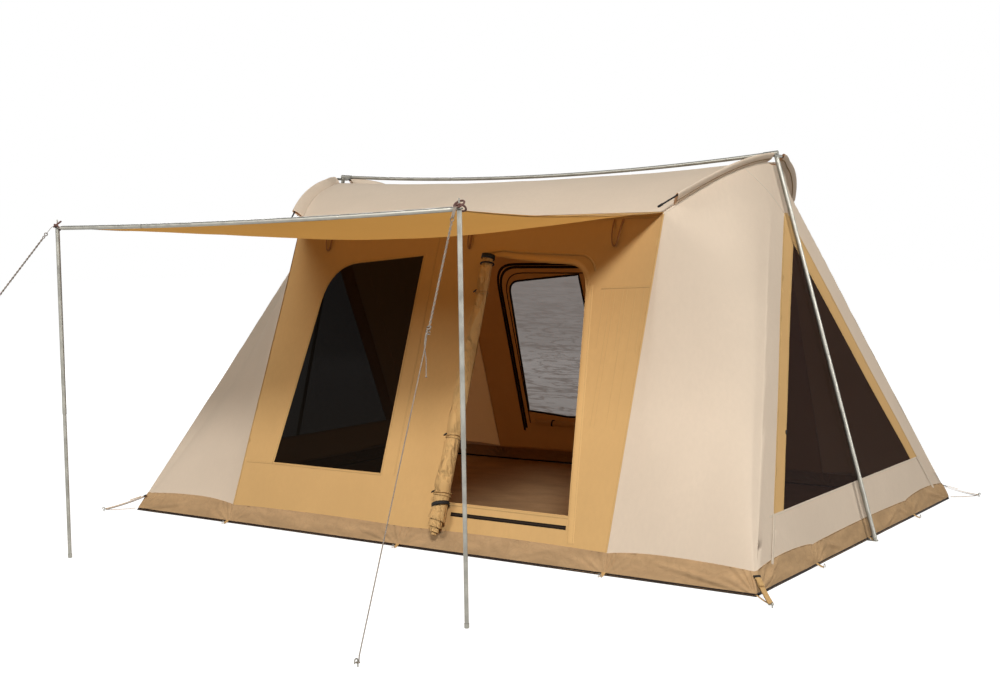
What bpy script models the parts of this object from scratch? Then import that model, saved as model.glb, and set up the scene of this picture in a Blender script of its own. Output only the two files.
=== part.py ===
"""Spring-bow canvas cabin tent with a front awning, one object for each sewn panel, tube and fitting.

Metres, +Z up. The origin is the middle of the groundsheet's underside. The front faces -Y.
"""

import math

import bmesh
import bpy
from mathutils import Matrix, Vector

# Tent body
BASE_WIDTH = 4.20
BASE_DEPTH = 2.86
BAND_HEIGHT = 0.10
EAVE_HEIGHT = 1.775
EAVE_DEPTH = 1.60
EAVE_WIDTH = 2.606
RIDGE_HEIGHT = 2.055
RIDGE_LENGTH = 3.110
RIDGE_SAG = 0.048
EDGE_ARCH = 0.4375
EDGE_LEAN = 0.90
FRONT_RIGHT = (1, 1)
TUCKS = {FRONT_RIGHT: 0.0, (1, -1): 0.033, (-1, 1): 0.074, (-1, -1): 0.074}
TUCK_SPAN = (0.06, 0.30)
LEFT_DROP = 0.016
CLOTH = 0.004
GAP = 0.0003
SEAM_GAP = 0.0007

# Panels, doors and windows
PANEL_HALF_WIDTH = 1.285
CORNER_SOFTNESS = 0.35
CORNER_PULLS = {(1, 1): (0.090, 0.0), (1, -1): (0.090, 0.6), (-1, 1): (0.112, -0.35), (-1, -1): (0.090, 0.0)}
PULL_RISE = (1.0, 2.0)
PULL_FALL = (2.35, 3.05)
GABLE_APEX_HEIGHT = 1.77
GABLE_FOOT_HALF = 1.26
GABLE_NECK = 0.02
GABLE_TOP_HALF = 0.305
GABLE_MESH_SILL = 0.31
GABLE_MESH_APEX_DROP = 0.17
GABLE_MESH_HALF = 0.93
OPENING_OUTER = 0.915
OPENING_FLARE = 0.11
OPENING_FLARE_FROM = 1.39
OPENING_TOP = 1.565
OPENING_TOP_FALL = 0.08
OPENING_CORNER = 0.12
WINDOW_SILL = 0.365
WINDOW_INNER = 0.215
DOOR_SILL = 0.255
DOOR_INNER = 0.285
BACK_DOOR_INNER = 0.150
BACK_DOOR_OUTER = 0.960
BACK_DOOR_FLARE = 0.044
BACK_DOOR_TOP = 1.475
BACK_DOOR_CORNER = 0.16
BACK_WINDOW_INNER = 0.285
BACK_WINDOW_OUTER = 0.873
BACK_WINDOW_FLARE = 0.066
BACK_WINDOW_SILL = 0.38
BACK_WINDOW_TOP = 1.375
BACK_WINDOW_CORNER = 0.085
MESH_THICKNESS = 0.002
DOOR_CLEARANCE = 0.0006

# Frame
RIDGE_TUBE_RADIUS = 0.011
RIDGE_TUBE_RISE = 0.043
RIDGE_BOW = 0.062
TUBE_WALL = 0.0012
RIDGE_JOINT = 0.66
SWAGE_LENGTH = 0.09
HUB_RADIUS = 0.0135
HUB_LENGTH = 0.085
ROD_RADIUS = 0.0048
ROD_TIP_RADIUS = 0.0065
ROD_TIP_LENGTH = 0.025
ROD_REACH = 0.888
ROD_DEPTH = 0.020
SOCKET_RADIUS = 0.0085
SOCKET_LENGTH = 0.050
SLEEVE_START = 0.070
SLEEVE_FOOT_END = 0.745
SLEEVE_TOP_END = 0.792
SLEEVE_TOP_OUT = 0.040
SLEEVE_TOP_RISE = 0.043
SLEEVE_ARCH = 0.364
SLEEVE_LEAN = 0.937
SLEEVE_SEATS = {1: 0.0036, -1: 0.0056}
SLEEVE_HALF_THICKNESS = 0.0095
SLEEVE_WALL = 0.0015
UPRIGHT_RADIUS = 0.0125
UPRIGHT_JOINT_SHARE = 0.48
UPRIGHT_FOOT_OUT = 0.042
PIN_RADIUS = 0.0055
PIN_LENGTH = 0.055

# Awning
AWNING_DEPTH = 1.74
AWNING_SHIFT = -0.025
BAR_HALF = 1.319
BAR_HEIGHT = 1.757
BAR_LIFT = 0.013
BAR_SAG = 0.015
BAR_RADIUS = 0.011
BAR_JOINT = 0.65
LUG_LENGTH = 0.055
LUG_THICKNESS = 0.006
LUG_WIDTH = 0.026
LUG_HOLE = 0.0055
AWNING_SAG = 0.085
AWNING_EDGE_SAG = 0.025
POLE_RADIUS = 0.011
POLE_LOWER_RADIUS = 0.0095
POLE_JOINT_HEIGHT = 0.766
POLE_OVERLAP = 0.34
SPIKE_RADIUS = 0.0035
SPIKE_LENGTH = 0.048
SHOULDER_RADIUS = 0.0072
LUG_REST_GAP = 0.00095

# Guy lines
ROPE_RADIUS = 0.00175
ROPE_SPACING = 0.015
STRAP_WIDTH = 0.016
STRAP_THICKNESS = 0.0025
STRAP_LENGTH = 0.075
EYE_RADIUS = 0.0035
SLIDER_LENGTH = 0.042
SLIDER_WIDTH = 0.027
SLIDER_THICKNESS = 0.008
SLIDER_SHARE = 0.735
GUY_PEG_RIGHT = (1.246, -3.205)
GUY_PEG_LEFT = (-2.16, -3.62)
PEG_RADIUS = 0.003
LOOP_HEIGHT = 0.018

# Door roll and ties
ROLL_TOP_RADIUS = 0.033
ROLL_FOOT_RADIUS = 0.045
ROLL_X = 0.270
ROLL_TOP = 1.555
ROLL_FOOT = 0.075
COVER_ROLL_HEIGHT = 0.330

HALF_W = BASE_WIDTH / 2
HALF_D = BASE_DEPTH / 2
EAVE_HALF_D = EAVE_DEPTH / 2
EAVE_HALF_W = EAVE_WIDTH / 2
RIDGE_HALF = RIDGE_LENGTH / 2
SLEEVE_TOP = (RIDGE_HALF + SLEEVE_TOP_OUT, RIDGE_HEIGHT + SLEEVE_TOP_RISE)
GABLE_MESH_APEX = GABLE_APEX_HEIGHT - GABLE_MESH_APEX_DROP
WALL_RUN = HALF_D - EAVE_HALF_D
WALL_SLOPE = math.atan2(WALL_RUN, EAVE_HEIGHT)
GABLE_SLOPE = math.atan2(HALF_W - RIDGE_HALF, RIDGE_HEIGHT)
BAR_Y = -EAVE_HALF_D - AWNING_DEPTH
AWNING_HINGE_Y = -EAVE_HALF_D - 0.0027


def collection(name):
    found = bpy.data.collections.new(name)
    bpy.context.scene.collection.children.link(found)
    return found


for old in list(bpy.data.objects):
    bpy.data.objects.remove(old)
TENT = collection("spring_bow_tent")
CUTTERS = collection("cutters")


def material(name, colour, roughness, metallic=0.0):
    made = bpy.data.materials.new(name)
    made.use_nodes = True
    shader = made.node_tree.nodes["Principled BSDF"]
    shader.inputs["Base Color"].default_value = (*colour, 1.0)
    shader.inputs["Roughness"].default_value = roughness
    shader.inputs["Metallic"].default_value = metallic
    return made


CREAM = material("cream_canvas", (0.72, 0.60, 0.46), 0.9)
TAN = material("tan_canvas", (0.60, 0.38, 0.16), 0.9)
BROWN = material("groundsheet_fabric", (0.42, 0.27, 0.15), 0.7)
MESH = material("insect_mesh", (0.02, 0.015, 0.012), 0.8)
STEEL = material("galvanised_steel", (0.55, 0.55, 0.52), 0.35, 1.0)
SPRING = material("black_spring_steel", (0.015, 0.015, 0.016), 0.4, 0.6)
LEATHER = material("leather", (0.20, 0.06, 0.03), 0.6)
ROPE = material("guy_rope", (0.45, 0.45, 0.43), 0.8)
PLASTIC = material("dark_plastic", (0.03, 0.03, 0.03), 0.5)
WEBBING = material("webbing", (0.50, 0.34, 0.18), 0.85)


def place(name, mesh, finish, matrix=None):
    """Adds one named sub-part to the tent's collection."""
    made = bpy.data.objects.new(name, mesh)
    mesh.materials.clear()
    mesh.materials.append(finish)
    TENT.objects.link(made)
    if matrix is not None:
        made.matrix_world = matrix
    return made


def from_bmesh(name, bm, finish, matrix=None, smooth=True):
    bmesh.ops.recalc_face_normals(bm, faces=bm.faces)
    mesh = bpy.data.meshes.new(name)
    bm.to_mesh(mesh)
    bm.free()
    if smooth:
        mesh.shade_smooth()
        mesh.set_sharp_from_angle(angle=math.radians(35))
    return place(name, mesh, finish, matrix)


def axis_matrix(start, end):
    """A frame with its origin at start and its +Z axis towards end."""
    direction = (Vector(end) - Vector(start)).normalized()
    turn = direction.to_track_quat("Z", "Y").to_matrix().to_4x4()
    return Matrix.Translation(start) @ turn


def skin(name, rows, finish, closed=False):
    """A closed shell between two grids. Each entry of rows is a list of (outer, inner) points."""
    bm = bmesh.new()
    outer = [[bm.verts.new(pair[0]) for pair in row] for row in rows]
    inner = [[bm.verts.new(pair[1]) for pair in row] for row in rows]
    down, across = len(rows), len(rows[0])
    last = across if closed else across - 1
    for i in range(down - 1):
        for j in range(last):
            k = (j + 1) % across
            bm.faces.new((outer[i][j], outer[i][k], outer[i + 1][k], outer[i + 1][j]))
            bm.faces.new((inner[i][j], inner[i + 1][j], inner[i + 1][k], inner[i][k]))
    for j in range(last):
        k = (j + 1) % across
        bm.faces.new((outer[0][j], inner[0][j], inner[0][k], outer[0][k]))
        bm.faces.new((outer[-1][j], outer[-1][k], inner[-1][k], inner[-1][j]))
    if not closed:
        for i in range(down - 1):
            bm.faces.new((outer[i][0], outer[i + 1][0], inner[i + 1][0], inner[i][0]))
            bm.faces.new((outer[i][-1], inner[i][-1], inner[i + 1][-1], outer[i + 1][-1]))
    bmesh.ops.remove_doubles(bm, verts=bm.verts, dist=0.00002)
    return from_bmesh(name, bm, finish)


def loft(name, rings, finish):
    """A solid through closed rings of points, with flat ends."""
    bm = bmesh.new()
    made = [[bm.verts.new(p) for p in ring] for ring in rings]
    count = len(rings[0])
    for low, high in zip(made, made[1:]):
        for j in range(count):
            k = (j + 1) % count
            bm.faces.new((low[j], low[k], high[k], high[j]))
    bm.faces.new(made[0])
    bm.faces.new(made[-1])
    return from_bmesh(name, bm, finish)


def plate(name, outlines, thickness, finish, matrix):
    """A flat piece cut to its outlines, the first the edge and the rest holes."""
    shape = bpy.data.curves.new(name, "CURVE")
    shape.dimensions = "2D"
    shape.fill_mode = "BOTH"
    shape.extrude = thickness / 2
    for outline in outlines:
        spline = shape.splines.new("POLY")
        spline.points.add(len(outline) - 1)
        for point, (x, y) in zip(spline.points, outline):
            point.co = (x, y, 0, 1)
        spline.use_cyclic_u = True
    made = bpy.data.objects.new(name, shape)
    shape.materials.append(finish)
    TENT.objects.link(made)
    made.matrix_world = matrix
    return made


def wire(name, points, radius, finish, resolution=2):
    """A round wire or rod along a list of points."""
    shape = bpy.data.curves.new(name, "CURVE")
    shape.dimensions = "3D"
    shape.bevel_depth = radius
    shape.bevel_resolution = resolution
    shape.use_fill_caps = True
    spline = shape.splines.new("POLY")
    spline.points.add(len(points) - 1)
    for point, co in zip(spline.points, points):
        point.co = (*co, 1)
    made = bpy.data.objects.new(name, shape)
    shape.materials.append(finish)
    TENT.objects.link(made)
    return made


def turned(name, profile, finish, matrix, steps=16):
    """A turned piece: the closed profile of (radius, height) points goes round +Z, down its outer side."""
    bm = bmesh.new()
    ring = [bm.verts.new((r, 0, z)) for r, z in profile]
    for a, b in zip(ring, ring[1:]):
        bm.edges.new((a, b))
    if profile[0][0] > 0.0:
        bm.edges.new((ring[-1], ring[0]))
    mesh = bpy.data.meshes.new(name)
    bm.to_mesh(mesh)
    bm.free()
    made = place(name, mesh, finish, matrix)
    screw = made.modifiers.new("turn", "SCREW")
    screw.steps = steps
    screw.render_steps = steps
    screw.use_merge_vertices = True
    screw.merge_threshold = 0.00005
    screw.use_smooth_shade = True
    return made


def cylinder(radius, start, end, segments=16):
    """A scratch cylinder object between two points, for cutting or joining."""
    length = (Vector(end) - Vector(start)).length
    bm = bmesh.new()
    bmesh.ops.create_cone(
        bm, cap_ends=True, segments=segments, radius1=radius, radius2=radius, depth=length
    )
    bmesh.ops.translate(bm, verts=bm.verts, vec=(0, 0, length / 2))
    mesh = bpy.data.meshes.new("cutter")
    bm.to_mesh(mesh)
    bm.free()
    made = bpy.data.objects.new("cutter", mesh)
    made.matrix_world = axis_matrix(start, end)
    made.hide_render = True
    made.display_type = "WIRE"
    CUTTERS.objects.link(made)
    return made


def combine(target, other, operation):
    step = target.modifiers.new(operation.lower(), "BOOLEAN")
    step.operation = operation
    step.object = other
    step.solver = "EXACT"


def mix(a, b, t):
    return a + (b - a) * t


def between(start, end, count):
    return [mix(start, end, i / count) for i in range(count + 1)]


def ramp(t, start, end):
    return min(1.0, max(0.0, (t - start) / (end - start)))


def ease(t):
    return t * t * (3 - 2 * t)


# Cloth surfaces


def tuck(y, quarter):
    """How far the cloth of one quarter is drawn in along its bow, beyond the hub's socket."""
    return TUCKS[quarter] * ease(ramp(abs(y), *TUCK_SPAN))


def roof_edge(y, quarter=FRONT_RIGHT):
    """The seam of roof and gable under a bow, given as if for the front right quarter."""
    drop = EDGE_ARCH * y * y
    return Vector((RIDGE_HALF - EDGE_LEAN * drop - tuck(y, quarter), y, RIDGE_HEIGHT - drop))


def wall(a, v, quarter=FRONT_RIGHT, slack=1.0):
    """The cloth of the front quarter, given as if for the right-hand one: a runs from the middle of the
    front to the middle of the gable (tan panel to 1, corner from 1 to 3, gable to 4), v from the ground
    to the roof."""
    if a <= 1:
        corner = roof_edge(-EAVE_HALF_D, quarter)
        foot = Vector((PANEL_HALF_WIDTH * a, -HALF_D, 0))
        head = Vector((corner.x * a, -EAVE_HALF_D, corner.z))
    else:
        to_corner = ramp(a, 1, 2 + CORNER_SOFTNESS)
        foot = Vector((mix(PANEL_HALF_WIDTH, HALF_W, ease(to_corner)), -HALF_D, 0))
        foot.y = -HALF_D * (1 - ramp(a, 3, 4))
        head = roof_edge(-EAVE_HALF_D * (1 - ease(ramp(a, 2 - CORNER_SOFTNESS, 3))), quarter)
    point = foot.lerp(head, v)
    window = ease(ramp(a, *PULL_RISE)) * (1 - ease(ramp(a, *PULL_FALL)))
    pull, skew = CORNER_PULLS[quarter]
    inward = slack * pull * (1 + skew * (2 * v - 1)) * 4 * v * (1 - v) * window
    turn = math.pi / 2 * ramp(a, 1, 3)
    return point + inward * Vector((-math.sin(turn), math.cos(turn), 0))


def wall_pair(a, v, flip):
    """The outer and inner point of the wall cloth, mirrored by flip to the other quarters."""
    near_v = min(0.97, max(0.03, v))
    along = wall(min(4, a + 0.004), near_v, flip, 0) - wall(max(0, a - 0.004), near_v, flip, 0)
    up = wall(a, near_v + 0.004, flip, 0) - wall(a, near_v - 0.004, flip, 0)
    normal = along.cross(up).normalized()
    outer = wall(a, v, flip)
    inner = outer - normal * CLOTH
    return [Vector((p.x * flip[0], p.y * flip[1], p.z)) for p in (outer, inner)]


WALL_FOOT = BAND_HEIGHT + CLOTH * math.sin(WALL_SLOPE) + GAP


def low_v(a):
    """Where the wall cloth meets the top of the groundsheet's band."""
    return WALL_FOOT / wall(a, 1).z


def gable_seam(z):
    """Half the width of the tan gable panel at height z, out to its seam."""
    share = ramp(z, 0, GABLE_APEX_HEIGHT)
    return mix(GABLE_FOOT_HALF, GABLE_NECK, share)


def top_seam(z):
    """Half the width of the cream piece above the gable's apex."""
    share = ramp(z, GABLE_APEX_HEIGHT, roof_edge(GABLE_TOP_HALF).z)
    return mix(GABLE_NECK, GABLE_TOP_HALF, share)


def find_seam(k, quarter):
    """The wall parameter a at which a row that is share k of the way up meets the gable's seam."""
    low, high = 2.0 - CORNER_SOFTNESS, 4.0
    for _ in range(40):
        a = (low + high) / 2
        at = wall(a, mix(low_v(a), 1, k), quarter)
        if abs(at.y) > side_seam(at.z) + SEAM_GAP:
            low = a
        else:
            high = a
    return (low + high) / 2


def side_seam(z):
    return gable_seam(z) if z < GABLE_APEX_HEIGHT else top_seam(z)


def row_shares(rows_below=7, rows_above=2):
    """The corner panels' rows, with one at the height of the tan gable's apex."""
    apex = (GABLE_APEX_HEIGHT - WALL_FOOT) / (RIDGE_HEIGHT - WALL_FOOT)
    return between(0, apex, rows_below) + between(apex, 1, rows_above)[1:]


def column_params(k, quarter, columns=11):
    return between(1.0, find_seam(k, quarter), columns)


def corner_panel(name, flip):
    """The cream corner, from the tan front panel round to the gable's seam."""
    grid = []
    for k in row_shares():
        grid.append([wall_pair(a, mix(low_v(a), 1, k), flip) for a in column_params(k, flip)])
    return skin(name, grid, CREAM)


def gable_top(name, side, columns=6, rows=3):
    """The cream piece between the gable's apex and the bow."""
    grid = []
    start = GABLE_APEX_HEIGHT / RIDGE_HEIGHT + 2 * GAP
    for i in range(rows + 1):
        v = mix(start, 1, i / rows)
        row = []
        for j in range(columns + 1):
            share = 2 * j / columns - 1
            low, high = 2.0 - CORNER_SOFTNESS, 4.0
            flip = (side, 1 if share < 0 else -1)
            for _ in range(40):
                a = (low + high) / 2
                at = wall(a, v, flip)
                wanted = abs(share) * (side_seam(max(at.z, GABLE_APEX_HEIGHT)) - SEAM_GAP)
                if abs(at.y) > wanted:
                    low = a
                else:
                    high = a
            row.append(wall_pair((low + high) / 2, v, flip))
        grid.append(row)
    return skin(name, grid, CREAM)


def wall_matrix(facing):
    """The plane of the front wall (facing -1) or back wall (1): x across, y up the slope, z outwards."""
    outward = Vector((0, facing * math.cos(WALL_SLOPE), math.sin(WALL_SLOPE)))
    up = Vector((0, -facing * math.sin(WALL_SLOPE), math.cos(WALL_SLOPE)))
    across = up.cross(outward)
    base = Vector((0, facing * HALF_D, 0)) - outward * CLOTH / 2
    turn = Matrix((across, up, outward)).transposed().to_4x4()
    return Matrix.Translation(base) @ turn


def gable_matrix(side):
    """The plane of a gable: x across it, y up the slope, z outwards."""
    outward = Vector((side * math.cos(GABLE_SLOPE), 0, math.sin(GABLE_SLOPE)))
    up = Vector((-side * math.sin(GABLE_SLOPE), 0, math.cos(GABLE_SLOPE)))
    across = up.cross(outward)
    base = Vector((side * HALF_W, 0, 0)) - outward * CLOTH / 2
    turn = Matrix((across, up, outward)).transposed().to_4x4()
    return Matrix.Translation(base) @ turn


def on_slope(points, slope):
    """Outline points given as (across, height above ground), laid on a sloping wall."""
    return [(x, z / math.cos(slope)) for x, z in points]


def rounded(corners, radius, steps=5):
    """A closed outline with each marked corner rounded. Corners are (x, z, is_round)."""
    outline = []
    count = len(corners)
    for i, (x, z, is_round) in enumerate(corners):
        if not is_round:
            outline.append((x, z))
            continue
        here = Vector((x, z))
        before = Vector(corners[i - 1][:2]) - here
        after = Vector(corners[(i + 1) % count][:2]) - here
        start = here + before.normalized() * radius
        end = here + after.normalized() * radius
        for s in range(steps + 1):
            t = s / steps
            bend = start.lerp(here, t).lerp(here.lerp(end, t), t)
            outline.append((bend.x, bend.y))
    return outline


def opening_outline(inner, sill, inset=0.0):
    """The front openings' outline: flared outer side, falling top and a round outer corner."""

    def outer(z):
        return OPENING_OUTER + OPENING_FLARE * (OPENING_FLARE_FROM - z) - inset

    def top(x):
        return OPENING_TOP - OPENING_TOP_FALL * (x - WINDOW_INNER) - inset

    low = sill + inset
    near = inner + inset
    corners = [
        (near, low, False),
        (outer(low), low, False),
        (outer(top(outer(OPENING_TOP))), top(outer(OPENING_TOP)), True),
        (near, top(near), False),
    ]
    return rounded(corners, OPENING_CORNER)


def back_outline(inset=0.0):
    """The back door's outline: straight sewn edge, flared zip edge and a round upper corner."""
    low, high = DOOR_SILL + inset, BACK_DOOR_TOP - inset
    far_low = BACK_DOOR_OUTER + BACK_DOOR_FLARE * (OPENING_FLARE_FROM - low) - inset
    far_high = BACK_DOOR_OUTER + BACK_DOOR_FLARE * (OPENING_FLARE_FROM - high) - inset
    near = BACK_DOOR_INNER + inset
    corners = [(near, low, False), (far_low, low, False), (far_high, high, True), (near, high, False)]
    return rounded(corners, BACK_DOOR_CORNER)


def back_window_outline(inset=0.0):
    low, high = BACK_WINDOW_SILL + inset, BACK_WINDOW_TOP - inset
    far_low = BACK_WINDOW_OUTER + BACK_WINDOW_FLARE * (OPENING_FLARE_FROM - low) - inset
    far_high = BACK_WINDOW_OUTER + BACK_WINDOW_FLARE * (OPENING_FLARE_FROM - high) - inset
    near = BACK_WINDOW_INNER + inset
    corners = [(near, low, True), (far_low, low, True), (far_high, high, True), (near, high, True)]
    return rounded(corners, BACK_WINDOW_CORNER)


def mirrored(outline, side):
    return [(side * x, z) for x, z in outline]


def roof_point(share, y):
    """The roof's seam surface, share from -1 at the left bow to 1 at the right."""
    end = 1 if y < 0 else -1
    left, right = roof_edge(y, (-1, end)), roof_edge(y, (1, end))
    sag = RIDGE_SAG * (1 - (y / EAVE_HALF_D) ** 2)
    x = mix(-left.x, right.x, (share + 1) / 2)
    return Vector((x, y, right.z - sag * (1 - share * share)))


def roof_pair(share, y):
    """The top and under side of the roof cloth."""
    step = 0.002
    inner_y = max(-EAVE_HALF_D + step, min(EAVE_HALF_D - step, y))
    along = roof_point(share + step, inner_y) - roof_point(share - step, inner_y)
    over = roof_point(share, inner_y + step) - roof_point(share, inner_y - step)
    normal = along.cross(over).normalized()
    base = roof_point(share, y)
    return base + normal * (GAP + CLOTH), base + normal * GAP


def roof_stations():
    """The roof's rows stand where the side walls' columns end, so that their edges follow each other."""
    quarter = {round(-wall(a, 1).y, 6) for flip in TUCKS for a in column_params(1, flip)}
    top = GABLE_TOP_HALF - SEAM_GAP
    quarter |= {round(top * i / 3, 6) for i in range(4)}
    return sorted({-y for y in quarter} | quarter)


def roof_panel(columns=12):
    grid = []
    for y in roof_stations():
        grid.append([roof_pair(mix(-1, 1, j / columns), y) for j in range(columns + 1)])
    return skin("roof_canopy", grid, CREAM)


def bar_height(x):
    """The centre of the awning's bar: it sags between the poles and its right end stands higher."""
    share = (x - AWNING_SHIFT) / BAR_HALF
    return BAR_HEIGHT + BAR_LIFT * share - BAR_SAG * (1 - share * share)


def awning_point(share, reach):
    """A point of the awning: share from -1 to 1 across, reach from 0 at the eave to 1 at the bar."""
    hem_half = BAR_HALF - LUG_LENGTH
    eave_x = mix(TUCKS[-1, 1] - EAVE_HALF_W, EAVE_HALF_W, (share + 1) / 2)
    x = mix(eave_x, AWNING_SHIFT + hem_half * share, reach)
    start_y = AWNING_HINGE_Y
    end_y = BAR_Y + BAR_RADIUS + 2 * GAP
    y = mix(start_y, end_y, reach)
    front_z = bar_height(x)
    z = mix(EAVE_HEIGHT - 0.003, front_z, reach)
    belly = AWNING_EDGE_SAG + (AWNING_SAG - AWNING_EDGE_SAG) * (1 - share * share)
    return Vector((x, y, z - belly * 4 * reach * (1 - reach)))


def awning_sheet(columns=14, rows=12):
    grid = []
    step = 0.002
    for i in range(rows + 1):
        reach = i / rows
        row = []
        for j in range(columns + 1):
            share = mix(-1, 1, j / columns)
            inside = min(1 - step, max(step, reach))
            along = awning_point(share + step, inside) - awning_point(share - step, inside)
            out = awning_point(share, inside + step) - awning_point(share, inside - step)
            normal = out.cross(along).normalized()
            point = awning_point(share, reach)
            row.append((point + normal * CLOTH / 2, point - normal * CLOTH / 2))
        grid.append(row)
    return skin("awning_sheet", grid, TAN)


# Fabric panels


def groundsheet():
    """A tray: the floor with its band standing up all round."""
    front_in = BAND_HEIGHT * math.tan(WALL_SLOPE)
    side_in = BAND_HEIGHT * math.tan(GABLE_SLOPE)

    def ring(inset_x, inset_y, z, bm):
        x, y = HALF_W - inset_x, HALF_D - inset_y
        return [bm.verts.new(p) for p in ((-x, -y, z), (x, -y, z), (x, y, z), (-x, y, z))]

    bm = bmesh.new()
    floor_share = CLOTH / BAND_HEIGHT
    rings = [
        ring(0, 0, 0, bm),
        ring(side_in, front_in, BAND_HEIGHT, bm),
        ring(side_in + CLOTH, front_in + CLOTH, BAND_HEIGHT, bm),
        ring(side_in * floor_share + CLOTH, front_in * floor_share + CLOTH, CLOTH, bm),
    ]
    for low, high in zip(rings, rings[1:]):
        for j in range(4):
            k = (j + 1) % 4
            bm.faces.new((low[j], low[k], high[k], high[j]))
    bm.faces.new(rings[0])
    bm.faces.new(rings[-1])
    return from_bmesh("groundsheet", bm, BROWN)


def wall_outline(end):
    """The front (end 1) or back (end -1) wall's outline as (x, height)."""
    heights = (WALL_FOOT, EAVE_HEIGHT - CLOTH * math.sin(WALL_SLOPE) - GAP)
    sides = []
    for side in (-1, 1):
        for z in heights:
            half = mix(PANEL_HALF_WIDTH, EAVE_HALF_W - TUCKS[side, end], z / EAVE_HEIGHT)
            sides.append((side * (half - 2 * GAP), z))
    low_left, high_left, low_right, high_right = sides
    return [low_left, low_right, high_right, high_left]


def front_wall():
    holes = [
        mirrored(opening_outline(WINDOW_INNER, WINDOW_SILL), -1),
        opening_outline(DOOR_INNER, DOOR_SILL),
    ]
    outlines = [on_slope(o, WALL_SLOPE) for o in [wall_outline(1), *holes]]
    plate("front_wall", outlines, CLOTH, TAN, wall_matrix(-1))
    mesh_outline = mirrored(opening_outline(WINDOW_INNER, WINDOW_SILL, GAP), -1)
    plate(
        "front_window_mesh",
        [on_slope(mesh_outline, WALL_SLOPE)],
        MESH_THICKNESS,
        MESH,
        wall_matrix(-1),
    )


def back_wall():
    """The back wall's door is zipped shut: a tan panel with a mesh window."""
    frame = wall_matrix(1)
    edge = mirrored(wall_outline(-1), -1)
    outlines = [on_slope(o, WALL_SLOPE) for o in (edge, back_outline())]
    plate("back_wall", outlines, CLOTH, TAN, frame)
    door = [back_outline(DOOR_CLEARANCE), back_window_outline()]
    plate("back_door", [on_slope(o, WALL_SLOPE) for o in door], CLOTH, TAN, frame)
    mesh_edge = on_slope(back_window_outline(GAP), WALL_SLOPE)
    plate("back_door_mesh", [mesh_edge], MESH_THICKNESS, MESH, frame)


def gables():
    low = WALL_FOOT
    apex = GABLE_APEX_HEIGHT
    seam = [
        (-gable_seam(low) + GAP, low),
        (gable_seam(low) - GAP, low),
        (gable_seam(apex) - GAP, apex),
        (-gable_seam(apex) + GAP, apex),
    ]

    def window(inset):
        lean = math.atan2(GABLE_MESH_HALF, GABLE_MESH_APEX - GABLE_MESH_SILL)
        side = inset / math.cos(lean)
        sill = GABLE_MESH_SILL + inset
        half = GABLE_MESH_HALF - side - inset * math.tan(lean)
        peak = GABLE_MESH_APEX - inset / math.sin(lean)
        return [(-half, sill), (half, sill), (0, peak)]

    for side, word in ((-1, "left"), (1, "right")):
        frame = gable_matrix(side)
        outlines = [on_slope(o, GABLE_SLOPE) for o in (seam, window(0))]
        plate(f"gable_{word}", outlines, CLOTH, TAN, frame)
        mesh_outline = on_slope(window(GAP), GABLE_SLOPE)
        plate(f"gable_mesh_{word}", [mesh_outline], MESH_THICKNESS, MESH, frame)
        gable_top(f"gable_top_{word}", side)


def corners():
    for side, word in ((-1, "left"), (1, "right")):
        for facing, end in ((1, "front"), (-1, "back")):
            corner_panel(f"corner_{end}_{word}", (side, facing))


# Frame


def sleeve_top(y, quarter):
    """The upper edge of a bow's sleeve, given as if for the front right quarter."""
    drop = SLEEVE_ARCH * y * y
    extra = LEFT_DROP * (y / EAVE_HALF_D) ** 2 if quarter[0] < 0 else 0.0
    x = SLEEVE_TOP[0] - SLEEVE_LEAN * drop - tuck(y, quarter)
    return Vector((x, y, SLEEVE_TOP[1] - drop - extra))


def sleeve_rise(y, quarter):
    """The direction across the sleeve, from the roof's edge up to its upper edge."""
    return (sleeve_top(y, quarter) - roof_edge(y, quarter)).normalized()


def rod_line(y, quarter=FRONT_RIGHT):
    """The centre line of a bow rod, straight beyond the sleeve."""

    def inside(at):
        return sleeve_top(at, quarter) - sleeve_rise(at, quarter) * ROD_DEPTH

    last = min(y, SLEEVE_TOP_END)
    return inside(last) + (inside(last) - inside(last - 0.01)) / 0.01 * (y - last)


def ridge_height(x):
    """The centre line of the ridge tube, which bends down in the middle."""
    share = x / RIDGE_HALF
    return RIDGE_HEIGHT + RIDGE_TUBE_RISE - RIDGE_BOW * (1 - share * share)


def bent_tube(name, profile, steps, height, finish, y=0.0):
    """A turned tube laid along X and bent to a height function. The profile is closed."""
    bm = bmesh.new()
    rings = []
    for r, x in profile:
        ring = []
        for s in range(steps):
            angle = 2 * math.pi * s / steps
            ring.append(
                bm.verts.new((x, y + r * math.cos(angle), height(x) + r * math.sin(angle)))
            )
        rings.append(ring)
    for low, high in zip(rings, rings[1:] + rings[:1]):
        for j in range(steps):
            k = (j + 1) % steps
            bm.faces.new((low[j], low[k], high[k], high[j]))
    return from_bmesh(name, bm, finish)


def plain_profile(radius, wall_thickness, start, end, count):
    """A plain tube's closed profile, out along its outer side and back along its bore."""
    outer = [(radius, x) for x in between(start, end, count)]
    bore = [(radius - wall_thickness, x) for x in between(end, start, count)]
    return outer + bore


def swaged_profile(radius, wall_thickness, start, end, count):
    """A tube with both ends swaged down to slide into its neighbours."""
    thin = radius - wall_thickness - GAP
    bore = thin - wall_thickness
    shoulder = 0.006
    steps = [(thin, start), (thin, start + SWAGE_LENGTH), (radius, start + SWAGE_LENGTH + shoulder)]
    ends = [(radius, end - SWAGE_LENGTH - shoulder), (thin, end - SWAGE_LENGTH), (thin, end)]
    body = [
        (radius, x)
        for x in between(
            start + SWAGE_LENGTH + shoulder, end - SWAGE_LENGTH - shoulder, count
        )[1:-1]
    ]
    inside = [(bore, x) for x in between(end, start, count + 4)]
    return steps + body + ends + inside


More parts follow.
